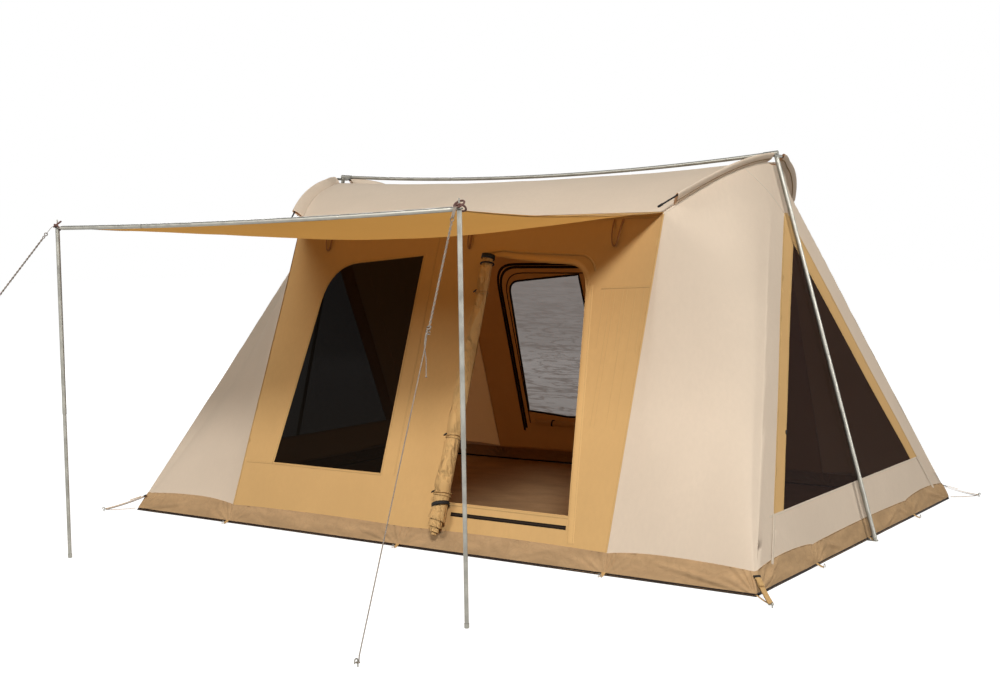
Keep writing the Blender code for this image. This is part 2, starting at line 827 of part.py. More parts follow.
def ridge():
    tube_end = RIDGE_HALF + 0.012
    shoulder = 0.006
    seat = RIDGE_JOINT + GAP
    for side, word in ((-1, "left"), (1, "right")):
        profile = plain_profile(
            RIDGE_TUBE_RADIUS, TUBE_WALL, side * seat, side * tube_end, 6
        )
        bent_tube(f"ridge_tube_{word}", profile, 12, ridge_height, STEEL)
    reach = RIDGE_JOINT + SWAGE_LENGTH
    middle = swaged_profile(RIDGE_TUBE_RADIUS, TUBE_WALL, -reach, reach, 8)
    middle = [(r, x * (RIDGE_JOINT - shoulder + SWAGE_LENGTH) / reach) for r, x in middle]
    bent_tube("ridge_tube_middle", middle, 12, ridge_height, STEEL)


def upright_line(side):
    """The upright's axis, from its foot on the ground to its top under the hub."""
    foot = Vector((side * (HALF_W + UPRIGHT_FOOT_OUT), 0, 0))
    hub = Vector((side * (RIDGE_HALF + 0.016), 0, ridge_height(RIDGE_HALF)))
    return foot, hub


def hubs():
    """Each hub holds the ridge tube, both bow rods and the pin on which it stands on the upright."""
    for side, word in ((-1, "left"), (1, "right")):
        top = ridge_height(RIDGE_HALF)
        slope = (ridge_height(RIDGE_HALF) - ridge_height(RIDGE_HALF - 0.02)) / 0.02
        tube_in = Vector((side * (RIDGE_HALF - 0.055), 0, top - slope * 0.055))
        tube_out = Vector((side * (RIDGE_HALF + 0.030), 0, top + slope * 0.030))
        hub = solid_cylinder(f"hub_{word}", HUB_RADIUS, tube_in, tube_out, STEEL)
        rod = rod_line(0)
        rod.x *= side
        reach = Vector((0, SOCKET_LENGTH, 0))
        combine(hub, cylinder(SOCKET_RADIUS, rod - reach, rod + reach), "UNION")
        foot, head = upright_line(side)
        down = (foot - head).normalized()
        pin_radius = UPRIGHT_RADIUS - TUBE_WALL - GAP
        collar_end = head + down * 0.038
        combine(hub, cylinder(UPRIGHT_RADIUS, head + down * 0.006, collar_end), "UNION")
        pin_end = head + down * 0.095
        combine(hub, cylinder(pin_radius, head + down * 0.03, pin_end), "UNION")
        bore = RIDGE_TUBE_RADIUS + 2 * GAP
        bore_end = tube_in.lerp(tube_out, 0.80)
        start = tube_in + (tube_in - tube_out).normalized() * 0.01
        combine(hub, cylinder(bore, start, bore_end), "DIFFERENCE")
        for facing in (-1, 1):
            near = rod + Vector((0, facing * 0.012, 0))
            far = rod + Vector((0, facing * (SOCKET_LENGTH + 0.01), 0))
            combine(hub, cylinder(ROD_RADIUS + GAP, near, far, 12), "DIFFERENCE")


def solid_cylinder(name, radius, start, end, finish, segments=18):
    length = (Vector(end) - Vector(start)).length
    bm = bmesh.new()
    bmesh.ops.create_cone(
        bm, cap_ends=True, segments=segments, radius1=radius, radius2=radius, depth=length
    )
    bmesh.ops.translate(bm, verts=bm.verts, vec=(0, 0, length / 2))
    return from_bmesh(name, bm, finish, axis_matrix(start, end))


def ring_at(centre, tangent, radius, count, spin=0.0):
    """Points round a centre, square to a tangent."""
    turn = tangent.normalized().to_track_quat("Z", "Y").to_matrix()
    points = []
    for s in range(count):
        angle = 2 * math.pi * s / count + spin
        points.append(centre + turn @ Vector((radius * math.cos(angle), radius * math.sin(angle), 0)))
    return points


def bows():
    """Four spring rods, from the hub's sockets out through the roof's sleeves."""
    for side, word in ((-1, "left"), (1, "right")):
        for facing, end in ((-1, "front"), (1, "back")):

            def at(y, side=side, facing=facing):
                p = rod_line(y, (side, -facing))
                return Vector((side * p.x, facing * y, p.z))

            rings = []
            socket = SOCKET_LENGTH + 0.006
            for y in (0.014, socket):
                straight = at(0) + Vector((0, facing * y, 0))
                rings.append(ring_at(straight, Vector((0, facing, 0)), ROD_RADIUS, 8))
            for y in between(0.085, ROD_REACH - ROD_TIP_LENGTH, 13):
                tangent = at(y + 0.005) - at(y - 0.005)
                rings.append(ring_at(at(y), tangent, ROD_RADIUS, 8))
            tip = ROD_REACH - ROD_TIP_LENGTH
            direction = at(tip + 0.005) - at(tip - 0.005)
            rings.append(ring_at(at(tip + 0.001), direction, ROD_TIP_RADIUS, 8))
            rings.append(ring_at(at(ROD_REACH - 0.004), direction, ROD_TIP_RADIUS, 8))
            rings.append(ring_at(at(ROD_REACH), direction, ROD_TIP_RADIUS * 0.6, 8))
            loft(f"bow_rod_{end}_{word}", rings, SPRING)


def blunt(share):
    """Rounds an ellipse out towards a box, so that the rod has room near its end."""
    return math.copysign(abs(share) ** 0.75, share)


def sleeves():
    """The flat sewn sleeves that the bow rods run in, along the roof's gable edges."""
    for side, word in ((-1, "left"), (1, "right")):
        for facing, end in ((-1, "front"), (1, "back")):
            grid = []
            quarter = (side, -facing)
            for share in between(0, 1, 10):
                low_y = mix(SLEEVE_START, SLEEVE_FOOT_END, share)
                high_y = mix(SLEEVE_START, SLEEVE_TOP_END, share)
                seat = SLEEVE_SEATS[side]
                low = roof_edge(low_y, quarter) + sleeve_rise(low_y, quarter) * seat
                high = sleeve_top(high_y, quarter)
                centre = (low + high) / 2
                across = (high - low) / 2
                before = sleeve_top(high_y - 0.01, quarter)
                tangent = (sleeve_top(high_y + 0.01, quarter) - before).normalized()
                thick = across.normalized().cross(tangent).normalized()
                row = []
                for s in range(10):
                    angle = 2 * math.pi * s / 10
                    reach_long = blunt(math.cos(angle))
                    reach_short = blunt(math.sin(angle))
                    spot = []
                    for shrink in (0, SLEEVE_WALL):
                        long_axis = across.normalized() * (across.length - shrink)
                        short_axis = thick * (SLEEVE_HALF_THICKNESS - shrink)
                        p = centre + long_axis * reach_long + short_axis * reach_short
                        spot.append(Vector((side * p.x, facing * p.y, p.z)))
                    row.append(spot)
                grid.append(row)
            skin(f"sleeve_{end}_{word}", grid, CREAM, closed=True)


def uprights():
    """Two-piece uprights outside the gables, on a steel foot pin."""
    for side, word in ((-1, "left"), (1, "right")):
        foot, head = upright_line(side)
        up = (head - foot).normalized()
        bottom = foot + up * 0.016
        top = head - up * (0.038 + GAP)
        joint = bottom.lerp(top, UPRIGHT_JOINT_SHARE)
        bore = UPRIGHT_RADIUS - TUBE_WALL
        length = (top - joint).length
        upper = [(UPRIGHT_RADIUS, length), (UPRIGHT_RADIUS, GAP), (bore, GAP), (bore, length)]
        turned(f"upright_upper_{word}", upper, STEEL, axis_matrix(joint, top))
        length = (joint - bottom).length
        thin = bore - GAP
        lower = [
            (thin, length + SWAGE_LENGTH),
            (thin, length),
            (UPRIGHT_RADIUS, length - 0.004),
            (UPRIGHT_RADIUS, 0),
            (thin - TUBE_WALL, 0),
            (thin - TUBE_WALL, length + SWAGE_LENGTH),
        ]
        turned(f"upright_lower_{word}", lower, STEEL, axis_matrix(bottom, joint))
        foot_pin(f"foot_pin_{word}", foot, up, side)


def foot_pin(name, foot, up, side):
    """A pin in a flat eye on the webbing at the tent's base, which the upright stands on."""
    pin = solid_cylinder(name, PIN_RADIUS, foot + up * 0.003, foot + up * (0.016 + PIN_LENGTH), STEEL)
    collar_top = foot + up * (0.016 - GAP)
    base = Vector((foot.x, foot.y, 0.0))
    combine(pin, cylinder(UPRIGHT_RADIUS + 0.002, base, base + Vector((0, 0, 0.006))), "UNION")
    combine(pin, cylinder(UPRIGHT_RADIUS * 0.8, foot + up * 0.002, collar_top), "UNION")
    inner = Vector((side * (HALF_W + 2 * GAP), 0, 0.003))
    tongue = box_cutter(
        Vector((min(inner.x, base.x), -0.012, 0)), Vector((max(inner.x, base.x), 0.012, 0.003))
    )
    combine(pin, tongue, "UNION")


def box_cutter(low, high):
    """A scratch box between two corners, for cutting or joining."""
    bm = bmesh.new()
    bmesh.ops.create_cube(bm, size=1.0)
    size = high - low
    bmesh.ops.scale(bm, vec=size, verts=bm.verts)
    bmesh.ops.translate(bm, vec=(low + high) / 2, verts=bm.verts)
    mesh = bpy.data.meshes.new("cutter")
    bm.to_mesh(mesh)
    bm.free()
    made = bpy.data.objects.new("cutter", mesh)
    made.hide_render = True
    made.display_type = "WIRE"
    CUTTERS.objects.link(made)
    return made


# Awning frame


def pole_place(side):
    """The x of a pole and the height of its shoulder under the bar's lug."""
    x = AWNING_SHIFT + side * (BAR_HALF - 0.014)
    return x, bar_height(x) - LUG_THICKNESS / 2 - LUG_REST_GAP


def awning_bar():
    """Three swaged tubes, the outer two flattened at their ends and drilled for the poles' spikes."""
    shoulder = 0.006
    reach = BAR_JOINT + SWAGE_LENGTH
    middle = swaged_profile(BAR_RADIUS, TUBE_WALL, -reach, reach, 6)
    middle = [
        (r, AWNING_SHIFT + x * (BAR_JOINT - shoulder + SWAGE_LENGTH) / reach) for r, x in middle
    ]
    bent_tube("awning_bar_middle", middle, 12, bar_height, STEEL, BAR_Y)
    for side, word in ((-1, "left"), (1, "right")):
        bar_end_piece(f"awning_bar_{word}", side)


def bar_end_piece(name, side, steps=12):
    bm = bmesh.new()
    start = BAR_JOINT + GAP
    flat_from = BAR_HALF - LUG_LENGTH
    stations = [(x, 0.0) for x in between(start, flat_from, 5)]
    stations += [(mix(flat_from, BAR_HALF - 0.03, t), ease(t)) for t in (0.33, 0.66, 1.0)]
    stations += [(BAR_HALF - 0.008, 1.0), (BAR_HALF, 1.3)]
    rings = []
    for along, flat in stations:
        x = AWNING_SHIFT + side * along
        width = mix(BAR_RADIUS, LUG_WIDTH / 2, min(flat, 1.0))
        if flat > 1.0:
            width *= 0.6
        thick = mix(BAR_RADIUS, LUG_THICKNESS / 2, min(flat, 1.0))
        ring = []
        for s in range(steps):
            angle = 2 * math.pi * s / steps
            across, rise = math.cos(angle), math.sin(angle)
            box_rise = max(-1.0, min(1.0, rise * 1.8))
            rise = mix(rise, box_rise, min(flat, 1.0))
            ring.append(bm.verts.new((x, BAR_Y + width * across, bar_height(x) + thick * rise)))
        rings.append(ring)
    bore_rings = between(flat_from - 0.01, start, 6)
    for along in bore_rings:
        x = AWNING_SHIFT + side * along
        ring = []
        for s in range(steps):
            angle = 2 * math.pi * s / steps
            r = BAR_RADIUS - TUBE_WALL
            ring.append(
                bm.verts.new(
                    (x, BAR_Y + r * math.cos(angle), bar_height(x) + r * math.sin(angle))
                )
            )
        rings.append(ring)
    outer, bore = rings[: len(stations)], rings[len(stations) :]
    for low, high in [*zip(outer, outer[1:]), *zip(bore, bore[1:]), (bore[-1], outer[0])]:
        for j in range(steps):
            k = (j + 1) % steps
            bm.faces.new((low[j], low[k], high[k], high[j]))
    bm.faces.new(outer[-1])
    bm.faces.new(bore[0])
    piece = from_bmesh(name, bm, STEEL)
    x, _ = pole_place(side)
    low = Vector((x, BAR_Y, bar_height(x) - 0.02))
    combine(piece, cylinder(LUG_HOLE, low, low + Vector((0, 0, 0.04))), "DIFFERENCE")


def poles():
    """Telescopic poles: the upper tube, with its spike, slides over the lower one."""
    for side, word in ((-1, "left"), (1, "right")):
        x, shoulder = pole_place(side)
        base = Matrix.Translation((x, BAR_Y, 0))
        bore = POLE_LOWER_RADIUS + GAP
        cap = shoulder - 0.02
        upper = [
            (0, shoulder + SPIKE_LENGTH),
            (SPIKE_RADIUS * 0.6, shoulder + SPIKE_LENGTH),
            (SPIKE_RADIUS, shoulder + SPIKE_LENGTH - 0.003),
            (SPIKE_RADIUS, shoulder),
            (SHOULDER_RADIUS, shoulder),
            (POLE_RADIUS, shoulder - 0.003),
            (POLE_RADIUS, POLE_JOINT_HEIGHT),
            (bore, POLE_JOINT_HEIGHT),
            (bore, cap),
            (0, cap),
        ]
        turned(f"pole_upper_{word}", upper, STEEL, base, 14)
        top = POLE_JOINT_HEIGHT + POLE_OVERLAP
        thin = POLE_LOWER_RADIUS - TUBE_WALL
        lower = [
            (POLE_LOWER_RADIUS, top),
            (POLE_LOWER_RADIUS, 0.022),
            (POLE_RADIUS, 0.021),
            (POLE_RADIUS, 0.002),
            (POLE_RADIUS - 0.002, 0),
            (0, 0),
            (0, 0.010),
            (thin, 0.010),
            (thin, top),
        ]
        turned(f"pole_lower_{word}", lower, STEEL, base, 14)


# Guy lines


def guy_place(side):
    """The spike's top point, the peg on the ground and the level direction from pole to peg."""
    x, shoulder = pole_place(side)
    peg = Vector((*(GUY_PEG_RIGHT if side > 0 else GUY_PEG_LEFT), 0))
    top = Vector((x, BAR_Y, shoulder + LUG_THICKNESS + 2 * LUG_REST_GAP + 0.004))
    level = Vector((peg.x - x, peg.y - BAR_Y, 0)).normalized()
    return top, peg, level


def strap_centre(side, s):
    """The leather strap's centre line, from the spike out and down towards the peg."""
    top, peg, level = guy_place(side)
    flat = 0.018
    down = (peg - top).normalized()
    if s <= flat:
        return top + level * s
    bend = 0.016
    t = min(1.0, (s - flat) / bend)
    heading = (level * (1 - t) + down * t).normalized()
    start = top + level * flat
    if s <= flat + bend:
        return start + (level + heading).normalized() * (s - flat)
    middle = start + (level + down).normalized() * bend
    return middle + down * (s - flat - bend)


def straps():
    """A leather strap drops over each spike and carries the rope in an eye at its end."""
    for side, word in ((-1, "left"), (1, "right")):
        top, peg, level = guy_place(side)
        across = level.cross(Vector((0, 0, 1)))
        rings = []
        for s in between(-0.010, STRAP_LENGTH, 11):
            tangent = (strap_centre(side, s + 0.001) - strap_centre(side, s - 0.001)).normalized()
            normal = across.cross(tangent).normalized()
            at_end = min(1.0, (STRAP_LENGTH - s) / 0.008 + 0.55)
            at_start = min(1.0, (s + 0.010) / 0.008 + 0.55)
            half = STRAP_WIDTH / 2 * min(at_end, at_start)
            c = strap_centre(side, s)
            t = STRAP_THICKNESS / 2
            rings.append(
                [
                    c + across * half + normal * t,
                    c - across * half + normal * t,
                    c - across * half - normal * t,
                    c + across * half - normal * t,
                ]
            )
        strap = loft(f"pole_strap_{word}", rings, LEATHER)
        low = top - Vector((0, 0, 0.01))
        combine(strap, cylinder(SPIKE_RADIUS + GAP, low, low + Vector((0, 0, 0.02))), "DIFFERENCE")
        eye = strap_centre(side, STRAP_LENGTH - 0.008)
        down = (peg - top).normalized()
        out = across.cross(down).normalized() * 0.01
        combine(strap, cylinder(EYE_RADIUS, eye - out, eye + out, 12), "DIFFERENCE")


def rope_frame(side):
    """The eye in the strap, the peg's hook and the rope's own axes."""
    top, peg, level = guy_place(side)
    eye = strap_centre(side, STRAP_LENGTH - 0.008)
    hook = peg + Vector((0, 0, LOOP_HEIGHT))
    up = (eye - hook).normalized()
    across = level.cross(Vector((0, 0, 1)))
    out = up.cross(across).normalized()
    drop = ROPE_SPACING / 2 + EYE_RADIUS - ROPE_RADIUS - GAP
    return eye - up * drop, hook, up, out


def peg_loop(side):
    """The rope's lower end, taken once round the peg's shaft."""
    _, peg, level = guy_place(side)
    across = level.cross(Vector((0, 0, 1)))
    centre = peg + Vector((0, 0, LOOP_HEIGHT))
    radius = PEG_RADIUS + ROPE_RADIUS + GAP
    points = []
    for i in range(11):
        angle = math.radians(mix(-300, 10, i / 10))
        points.append(centre - level * radius * math.cos(angle) + across * radius * math.sin(angle))
    return points


def rope_points(side):
    """The rope runs from the peg through the slider, turns in the strap's eye and comes back to a knot."""
    eye, hook, up, out = rope_frame(side)
    length = (eye - hook).length
    half = ROPE_SPACING / 2
    split = length * SLIDER_SHARE
    points = peg_loop(side)
    for i in range(30):
        d = mix(0.022, split - 0.10, i / 30)
        points.append(hook + up * d)
    for i in range(8):
        t = i / 8
        points.append(hook + up * mix(split - 0.10, split - 0.03, t) + out * half * ease(t))
    for i in range(12):
        points.append(hook + up * mix(split - 0.03, length, i / 12) + out * half)
    for i in range(7):
        angle = math.pi * i / 6
        turn = out * half * math.cos(angle) + up * half * math.sin(angle)
        points.append(eye + turn)
    for i in range(1, 13):
        points.append(hook + up * mix(length, split - 0.036, i / 12) - out * half)
    return points


def guys():
    for side, word in ((-1, "left"), (1, "right")):
        eye, hook, up, out = rope_frame(side)
        wire(f"guy_rope_{word}", rope_points(side), ROPE_RADIUS, ROPE, 2)
        length = (eye - hook).length
        middle = hook + up * (length * SLIDER_SHARE)
        slider(f"guy_slider_{word}", middle, up, out)
        peg_hook(f"guy_peg_{word}", hook, side)


def slider(name, middle, up, out):
    """A flat wooden slider with two holes for the doubled rope."""
    across = up.cross(out)
    rings = []
    for s, width, thick in (
        (-0.5, 0.70, 0.7),
        (-0.42, 1.0, 1.0),
        (0.42, 1.0, 1.0),
        (0.5, 0.70, 0.7),
    ):
        c = middle + up * SLIDER_LENGTH * s
        w = out * SLIDER_WIDTH / 2 * width
        t = across * SLIDER_THICKNESS / 2 * thick
        w_in, t_in = w * 0.85, t * 0.6
        rings.append(
            [c + w + t_in, c + w_in + t, c - w_in + t, c - w + t_in]
            + [c - w - t_in, c - w_in - t, c + w_in - t, c + w - t_in]
        )
    body = loft(name, rings, WEBBING)
    for sign in (-1, 1):
        c = middle + out * sign * ROPE_SPACING / 2
        reach = up * SLIDER_LENGTH
        combine(body, cylinder(ROPE_RADIUS + GAP, c - reach, c + reach, 12), "DIFFERENCE")


def peg_hook(name, hook, side):
    """The head of a steel peg: a leaning shaft with a hook that holds the rope's end."""
    _, _, level = guy_place(side)
    peg = Vector((hook.x, hook.y, 0))
    radius = 0.009
    points = [peg, peg + Vector((0, 0, LOOP_HEIGHT + 0.008))]
    centre = points[1] + level * radius
    for i in range(1, 8):
        angle = math.pi * i / 7
        points.append(
            centre - level * radius * math.cos(angle) + Vector((0, 0, radius * math.sin(angle)))
        )
    points.append(points[-1] - Vector((0, 0, 0.010)))
    wire(name, points, PEG_RADIUS, STEEL, 1)


# Fittings


def door_roll():
    """The front door, rolled up and hanging down beside its opening."""
    outward = Vector((0, -math.cos(WALL_SLOPE), math.sin(WALL_SLOPE)))
    rings = []
    for i in range(17):
        t = i / 16
        z = mix(ROLL_TOP, ROLL_FOOT, t)
        radius = mix(ROLL_TOP_RADIUS, ROLL_FOOT_RADIUS, t) * (1 + 0.06 * math.sin(9 * t))
        face = Vector((ROLL_X, -HALF_D + z * math.tan(WALL_SLOPE), z))
        section = []
        for s in range(14):
            angle = 2 * math.pi * s / 14
            reach = radius * (1 + 0.08 * math.cos(2 * angle + 3 * t))
            section.append((reach * math.cos(angle), reach * math.sin(angle)))
        lift = GAP - min(out for _, out in section)
        rings.append([face + Vector((x, 0, 0)) + outward * (out + lift) for x, out in section])
    loft("door_roll", rings, TAN)


def cover_roll():
    """The back door's inner cover, rolled down under its window."""
    inward = Vector((0, -math.cos(WALL_SLOPE), -math.sin(WALL_SLOPE)))
    up = Vector((0, -math.sin(WALL_SLOPE), math.cos(WALL_SLOPE)))
    z = COVER_ROLL_HEIGHT
    radius = 0.022
    rings = []
    for i in range(9):
        t = i / 8
        x = mix(BACK_DOOR_INNER + 0.10, BACK_WINDOW_OUTER + 0.03, t)
        face = Vector((x, HALF_D - z * math.tan(WALL_SLOPE), z))
        section = []
        for s in range(10):
            angle = 2 * math.pi * s / 10
            reach = radius * (1 + 0.06 * math.sin(5 * t + 2 * angle) - 0.06)
            section.append((reach * math.cos(angle), reach * math.sin(angle)))
        lift = CLOTH + GAP - min(deep for deep, _ in section)
        ring = [face + inward * (deep + lift) + up * rise for deep, rise in section]
        rings.append([Vector((-p.x, p.y, p.z)) for p in ring])
    loft("back_cover_roll", rings, TAN)


def corner_anchor(name, side, facing):
    """A corner's webbing strap with its ladder buckle and the peg that it is hooked on."""
    corner = Vector((side * HALF_W, facing * HALF_D, 0))
    out = Vector((side, facing, 0)).normalized()
    across = Vector((-out.y, out.x, 0))
    top_in = Vector((side * BAND_HEIGHT * math.tan(GABLE_SLOPE), facing * BAND_HEIGHT * math.tan(WALL_SLOPE), 0))
    start = corner - top_in + Vector((0, 0, BAND_HEIGHT - 0.012)) + out * 0.0062
    end = corner + out * 0.185 + Vector((0, 0, 0.016))
    rings = []
    for s in between(0, 1, 6):
        c = start.lerp(end, s)
        normal = (end - start).cross(across).normalized()
        swell = 1.0
        if 0.3 < s < 0.7:
            swell = 1.25
        w, t = across * 0.0125 * swell, normal * 0.0012 * (swell * 2 - 1)
        rings.append([c + w + t, c - w + t, c - w - t, c + w - t])
    strap = loft(name, rings, WEBBING)
    foot = end + out * 0.010
    shaft = cylinder(PEG_RADIUS, Vector((foot.x, foot.y, 0)), foot + Vector((0, 0, 0.024)), 10)
    combine(strap, shaft, "UNION")
    link = cylinder(PEG_RADIUS * 0.8, end - out * 0.01, end + out * 0.014, 10)
    combine(strap, link, "UNION")


def corner_anchors():
    for side, word in ((-1, "left"), (1, "right")):
        for facing, end in ((-1, "front"), (1, "back")):
            corner_anchor(f"corner_anchor_{end}_{word}", side, facing)


def zip_puller(name, spot, outward, along):
    """A zip slider with its pull tab, flat against the cloth."""
    across = along.cross(outward)
    rings = []
    for s, width, thick in ((-0.016, 0.5, 0.5), (-0.008, 1, 1), (0.004, 1, 1), (0.008, 0.6, 0.7)):
        c = spot + along * s + outward * 0.0026
        w, t = across * 0.004 * width, outward * 0.002 * thick
        rings.append([c + w + t, c - w + t, c - w - t, c + w - t])
    loft(name, rings, PLASTIC)


def zip_pullers():
    for side, word in ((-1, "left"), (1, "right")):
        frame = gable_matrix(side)
        outward = (frame.to_3x3() @ Vector((0, 0, 1))).normalized()
        z = 0.66
        y = -side * mix(GABLE_MESH_HALF, 0, (z - GABLE_MESH_SILL) / (GABLE_MESH_APEX - GABLE_MESH_SILL))
        run = Vector((-side * -GABLE_MESH_HALF, (GABLE_MESH_APEX - GABLE_MESH_SILL) / math.cos(GABLE_SLOPE), 0))
        run.x = -GABLE_MESH_HALF if y > 0 else GABLE_MESH_HALF
        along = (frame.to_3x3() @ run).normalized()
        local = Vector((y + (0.012 if y > 0 else -0.012), z / math.cos(GABLE_SLOPE), CLOTH / 2))
        zip_puller(f"zip_puller_{word}", frame @ local, outward, along)


groundsheet()
front_wall()
back_wall()
gables()
corners()
roof_panel()
awning_sheet()
ridge()
hubs()
bows()
sleeves()
uprights()
awning_bar()
poles()
straps()
guys()
door_roll()
cover_roll()
corner_anchors()
zip_pullers()
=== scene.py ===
"""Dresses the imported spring-bow canvas tent: cloth, insect mesh, cords, metal and small sewn parts.

Metres, +Z up, the front faces -Y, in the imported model's own frame.
"""

from math import atan2, copysign, cos, dist, exp, hypot, pi, radians, sin, sqrt, tan

import bpy
import numpy as np
from mathutils import Matrix, Vector, noise
from mathutils.geometry import delaunay_2d_cdt


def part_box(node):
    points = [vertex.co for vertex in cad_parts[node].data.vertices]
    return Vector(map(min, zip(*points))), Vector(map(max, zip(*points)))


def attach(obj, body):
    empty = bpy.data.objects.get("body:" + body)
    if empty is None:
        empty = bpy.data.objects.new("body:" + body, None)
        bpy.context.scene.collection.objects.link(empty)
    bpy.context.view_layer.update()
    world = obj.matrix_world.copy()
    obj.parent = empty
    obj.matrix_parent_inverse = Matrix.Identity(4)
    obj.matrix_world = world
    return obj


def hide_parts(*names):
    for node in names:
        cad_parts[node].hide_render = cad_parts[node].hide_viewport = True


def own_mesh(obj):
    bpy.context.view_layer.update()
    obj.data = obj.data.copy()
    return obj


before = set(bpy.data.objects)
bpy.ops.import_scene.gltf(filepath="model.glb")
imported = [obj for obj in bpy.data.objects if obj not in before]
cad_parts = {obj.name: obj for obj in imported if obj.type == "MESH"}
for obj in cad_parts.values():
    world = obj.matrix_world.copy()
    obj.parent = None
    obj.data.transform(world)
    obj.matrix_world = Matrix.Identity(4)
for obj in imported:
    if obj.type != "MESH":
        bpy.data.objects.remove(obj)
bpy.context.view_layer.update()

# The photograph's camera

PHOTO_WIDTH = 1000
FOCAL_PIXELS = 1393.35
SENSOR = 36.0
CAMERA_PLACE = Vector((4.73472, -7.20744, 1.60966))
CAMERA_YAW = radians(-34.932)
CAMERA_PITCH = radians(-4.056)
CAMERA_ROLL = radians(-0.917)


def photo_camera():
    camera = bpy.data.objects.new("photo_camera", bpy.data.cameras.new("photo_camera"))
    camera.data.sensor_width = SENSOR
    camera.data.lens = FOCAL_PIXELS / PHOTO_WIDTH * SENSOR
    camera.data.clip_end = 200
    ahead = Vector((sin(CAMERA_YAW), cos(CAMERA_YAW), tan(CAMERA_PITCH))).normalized()
    level = Vector((cos(CAMERA_YAW), -sin(CAMERA_YAW), 0))
    above = level.cross(ahead)
    right = level * cos(CAMERA_ROLL) + above * sin(CAMERA_ROLL)
    up = above * cos(CAMERA_ROLL) - level * sin(CAMERA_ROLL)
    turn = Matrix((right, up, -ahead)).transposed().to_4x4()
    camera.matrix_world = Matrix.Translation(CAMERA_PLACE) @ turn
    bpy.context.scene.collection.objects.link(camera)
    bpy.context.scene.camera = camera


photo_camera()

# Sizes of the tent, as in the part's source

HALF_W = 2.10
HALF_D = 1.43
BAND_HEIGHT = 0.10
EAVE_HEIGHT = 1.775
EAVE_HALF_D = 0.80
EAVE_HALF_W = 1.303
RIDGE_HEIGHT = 2.055
RIDGE_HALF = 1.555
RIDGE_SAG = 0.048
EDGE_ARCH = 0.4375
EDGE_LEAN = 0.90
FRONT_RIGHT = (1, 1)
TUCKS = {FRONT_RIGHT: 0.0, (1, -1): 0.033, (-1, 1): 0.074, (-1, -1): 0.074}
TUCK_SPAN = (0.06, 0.30)
LEFT_DROP = 0.016
PANEL_HALF_WIDTH = 1.285
CORNER_SOFTNESS = 0.35
CORNER_SOFTNESS_HIGH = 0.62
CORNER_PULLS = {(1, 1): (0.026, 0.0), (1, -1): (0.090, 0.6), (-1, 1): (0.112, -0.35), (-1, -1): (0.090, 0.0)}
PULL_RISE = (1.0, 2.0)
PULL_FALL = (2.35, 3.05)
GABLE_APEX_HEIGHT = 1.77
GABLE_FOOT_HALF = 1.26
GABLE_NECK = 0.02
GABLE_TOP_HALF = 0.305
GABLE_MESH_SILL = 0.31
GABLE_MESH_APEX = 1.60
GABLE_MESH_HALF = 0.93
OPENING_OUTER = 0.915
OPENING_FLARE = 0.11
OPENING_FLARE_FROM = 1.39
OPENING_TOP = 1.565
OPENING_TOP_FALL = 0.08
OPENING_CORNER = 0.12
WINDOW_CORNER = 0.22
WINDOW_SILL = 0.365
WINDOW_INNER = 0.215
DOOR_SILL = 0.255
DOOR_INNER = 0.285
BACK_DOOR_INNER = 0.150
BACK_DOOR_OUTER = 0.960
BACK_DOOR_FLARE = 0.044
BACK_DOOR_TOP = 1.475
BACK_DOOR_CORNER = 0.16
BACK_WINDOW_INNER = 0.285
BACK_WINDOW_OUTER = 0.873
BACK_WINDOW_FLARE = 0.066
BACK_WINDOW_SILL = 0.38
BACK_WINDOW_TOP = 1.375
BACK_WINDOW_CORNER = 0.085
ROLL_TOP_RADIUS = 0.033
ROLL_FOOT_RADIUS = 0.045
ROLL_X = 0.270
ROLL_TOP = 1.555
ROLL_FOOT = 0.075
SLEEVE_START = 0.070
SLEEVE_FOOT_END = 0.745
SLEEVE_TOP_END = 0.792
SLEEVE_TOP = (1.595, 2.098)
SLEEVE_ARCH = 0.364
SLEEVE_LEAN = 0.937
SLEEVE_OVERLAP = 0.006
SLEEVE_HALF_THICKNESS = 0.0095
AWNING_HINGE_Y = -0.8027
BAR_Y = -2.54
AWNING_SHIFT = -0.025
BAR_HALF = 1.319
BAR_HEIGHT = 1.757
BAR_LIFT = 0.013
BAR_SAG = 0.015
BAR_RADIUS = 0.011
LUG_LENGTH = 0.055
LUG_THICKNESS = 0.006
LUG_REST_GAP = 0.00095
ROPE_RADIUS = 0.00175
ROPE_SPACING = 0.015
STRAP_LENGTH = 0.075
EYE_RADIUS = 0.0035
SLIDER_SHARE = 0.735
GUY_PEGS = {1: Vector((1.246, -3.205, 0)), -1: Vector((-2.16, -3.62, 0))}
LOOP_HEIGHT = 0.018
AWNING_SAG = 0.098
AWNING_EDGE_SAG = 0.025
WALL_SLOPE = atan2(HALF_D - EAVE_HALF_D, EAVE_HEIGHT)
GABLE_SLOPE = atan2(HALF_W - RIDGE_HALF, RIDGE_HEIGHT)
WALL_FOOT = BAND_HEIGHT
CLOTH_DEPTH = 0.002
TAPE_WIDTH = 0.014
JAMB_WIDTH = 0.045
SIDES = ((-1, "left"), (1, "right"))
ENDS = ((-1, "front"), (1, "back"))
UP = Vector((0, 0, 1))


def mix(a, b, t):
    return a + (b - a) * t


def mix_pair(a, b, t):
    return (mix(a[0], b[0], t), mix(a[1], b[1], t))


def between(start, end, count):
    return [mix(start, end, i / count) for i in range(count + 1)]


def ramp(t, start, end):
    return min(1.0, max(0.0, (t - start) / (end - start)))


def ease(t):
    return t * t * (3 - 2 * t)


def rough(x, y, z):
    """Smooth noise about zero."""
    return noise.noise(Vector((x, y, z)))


def turned(u, w, angle):
    """The direction at an angle from u towards w."""
    return u * cos(angle) + w * sin(angle)


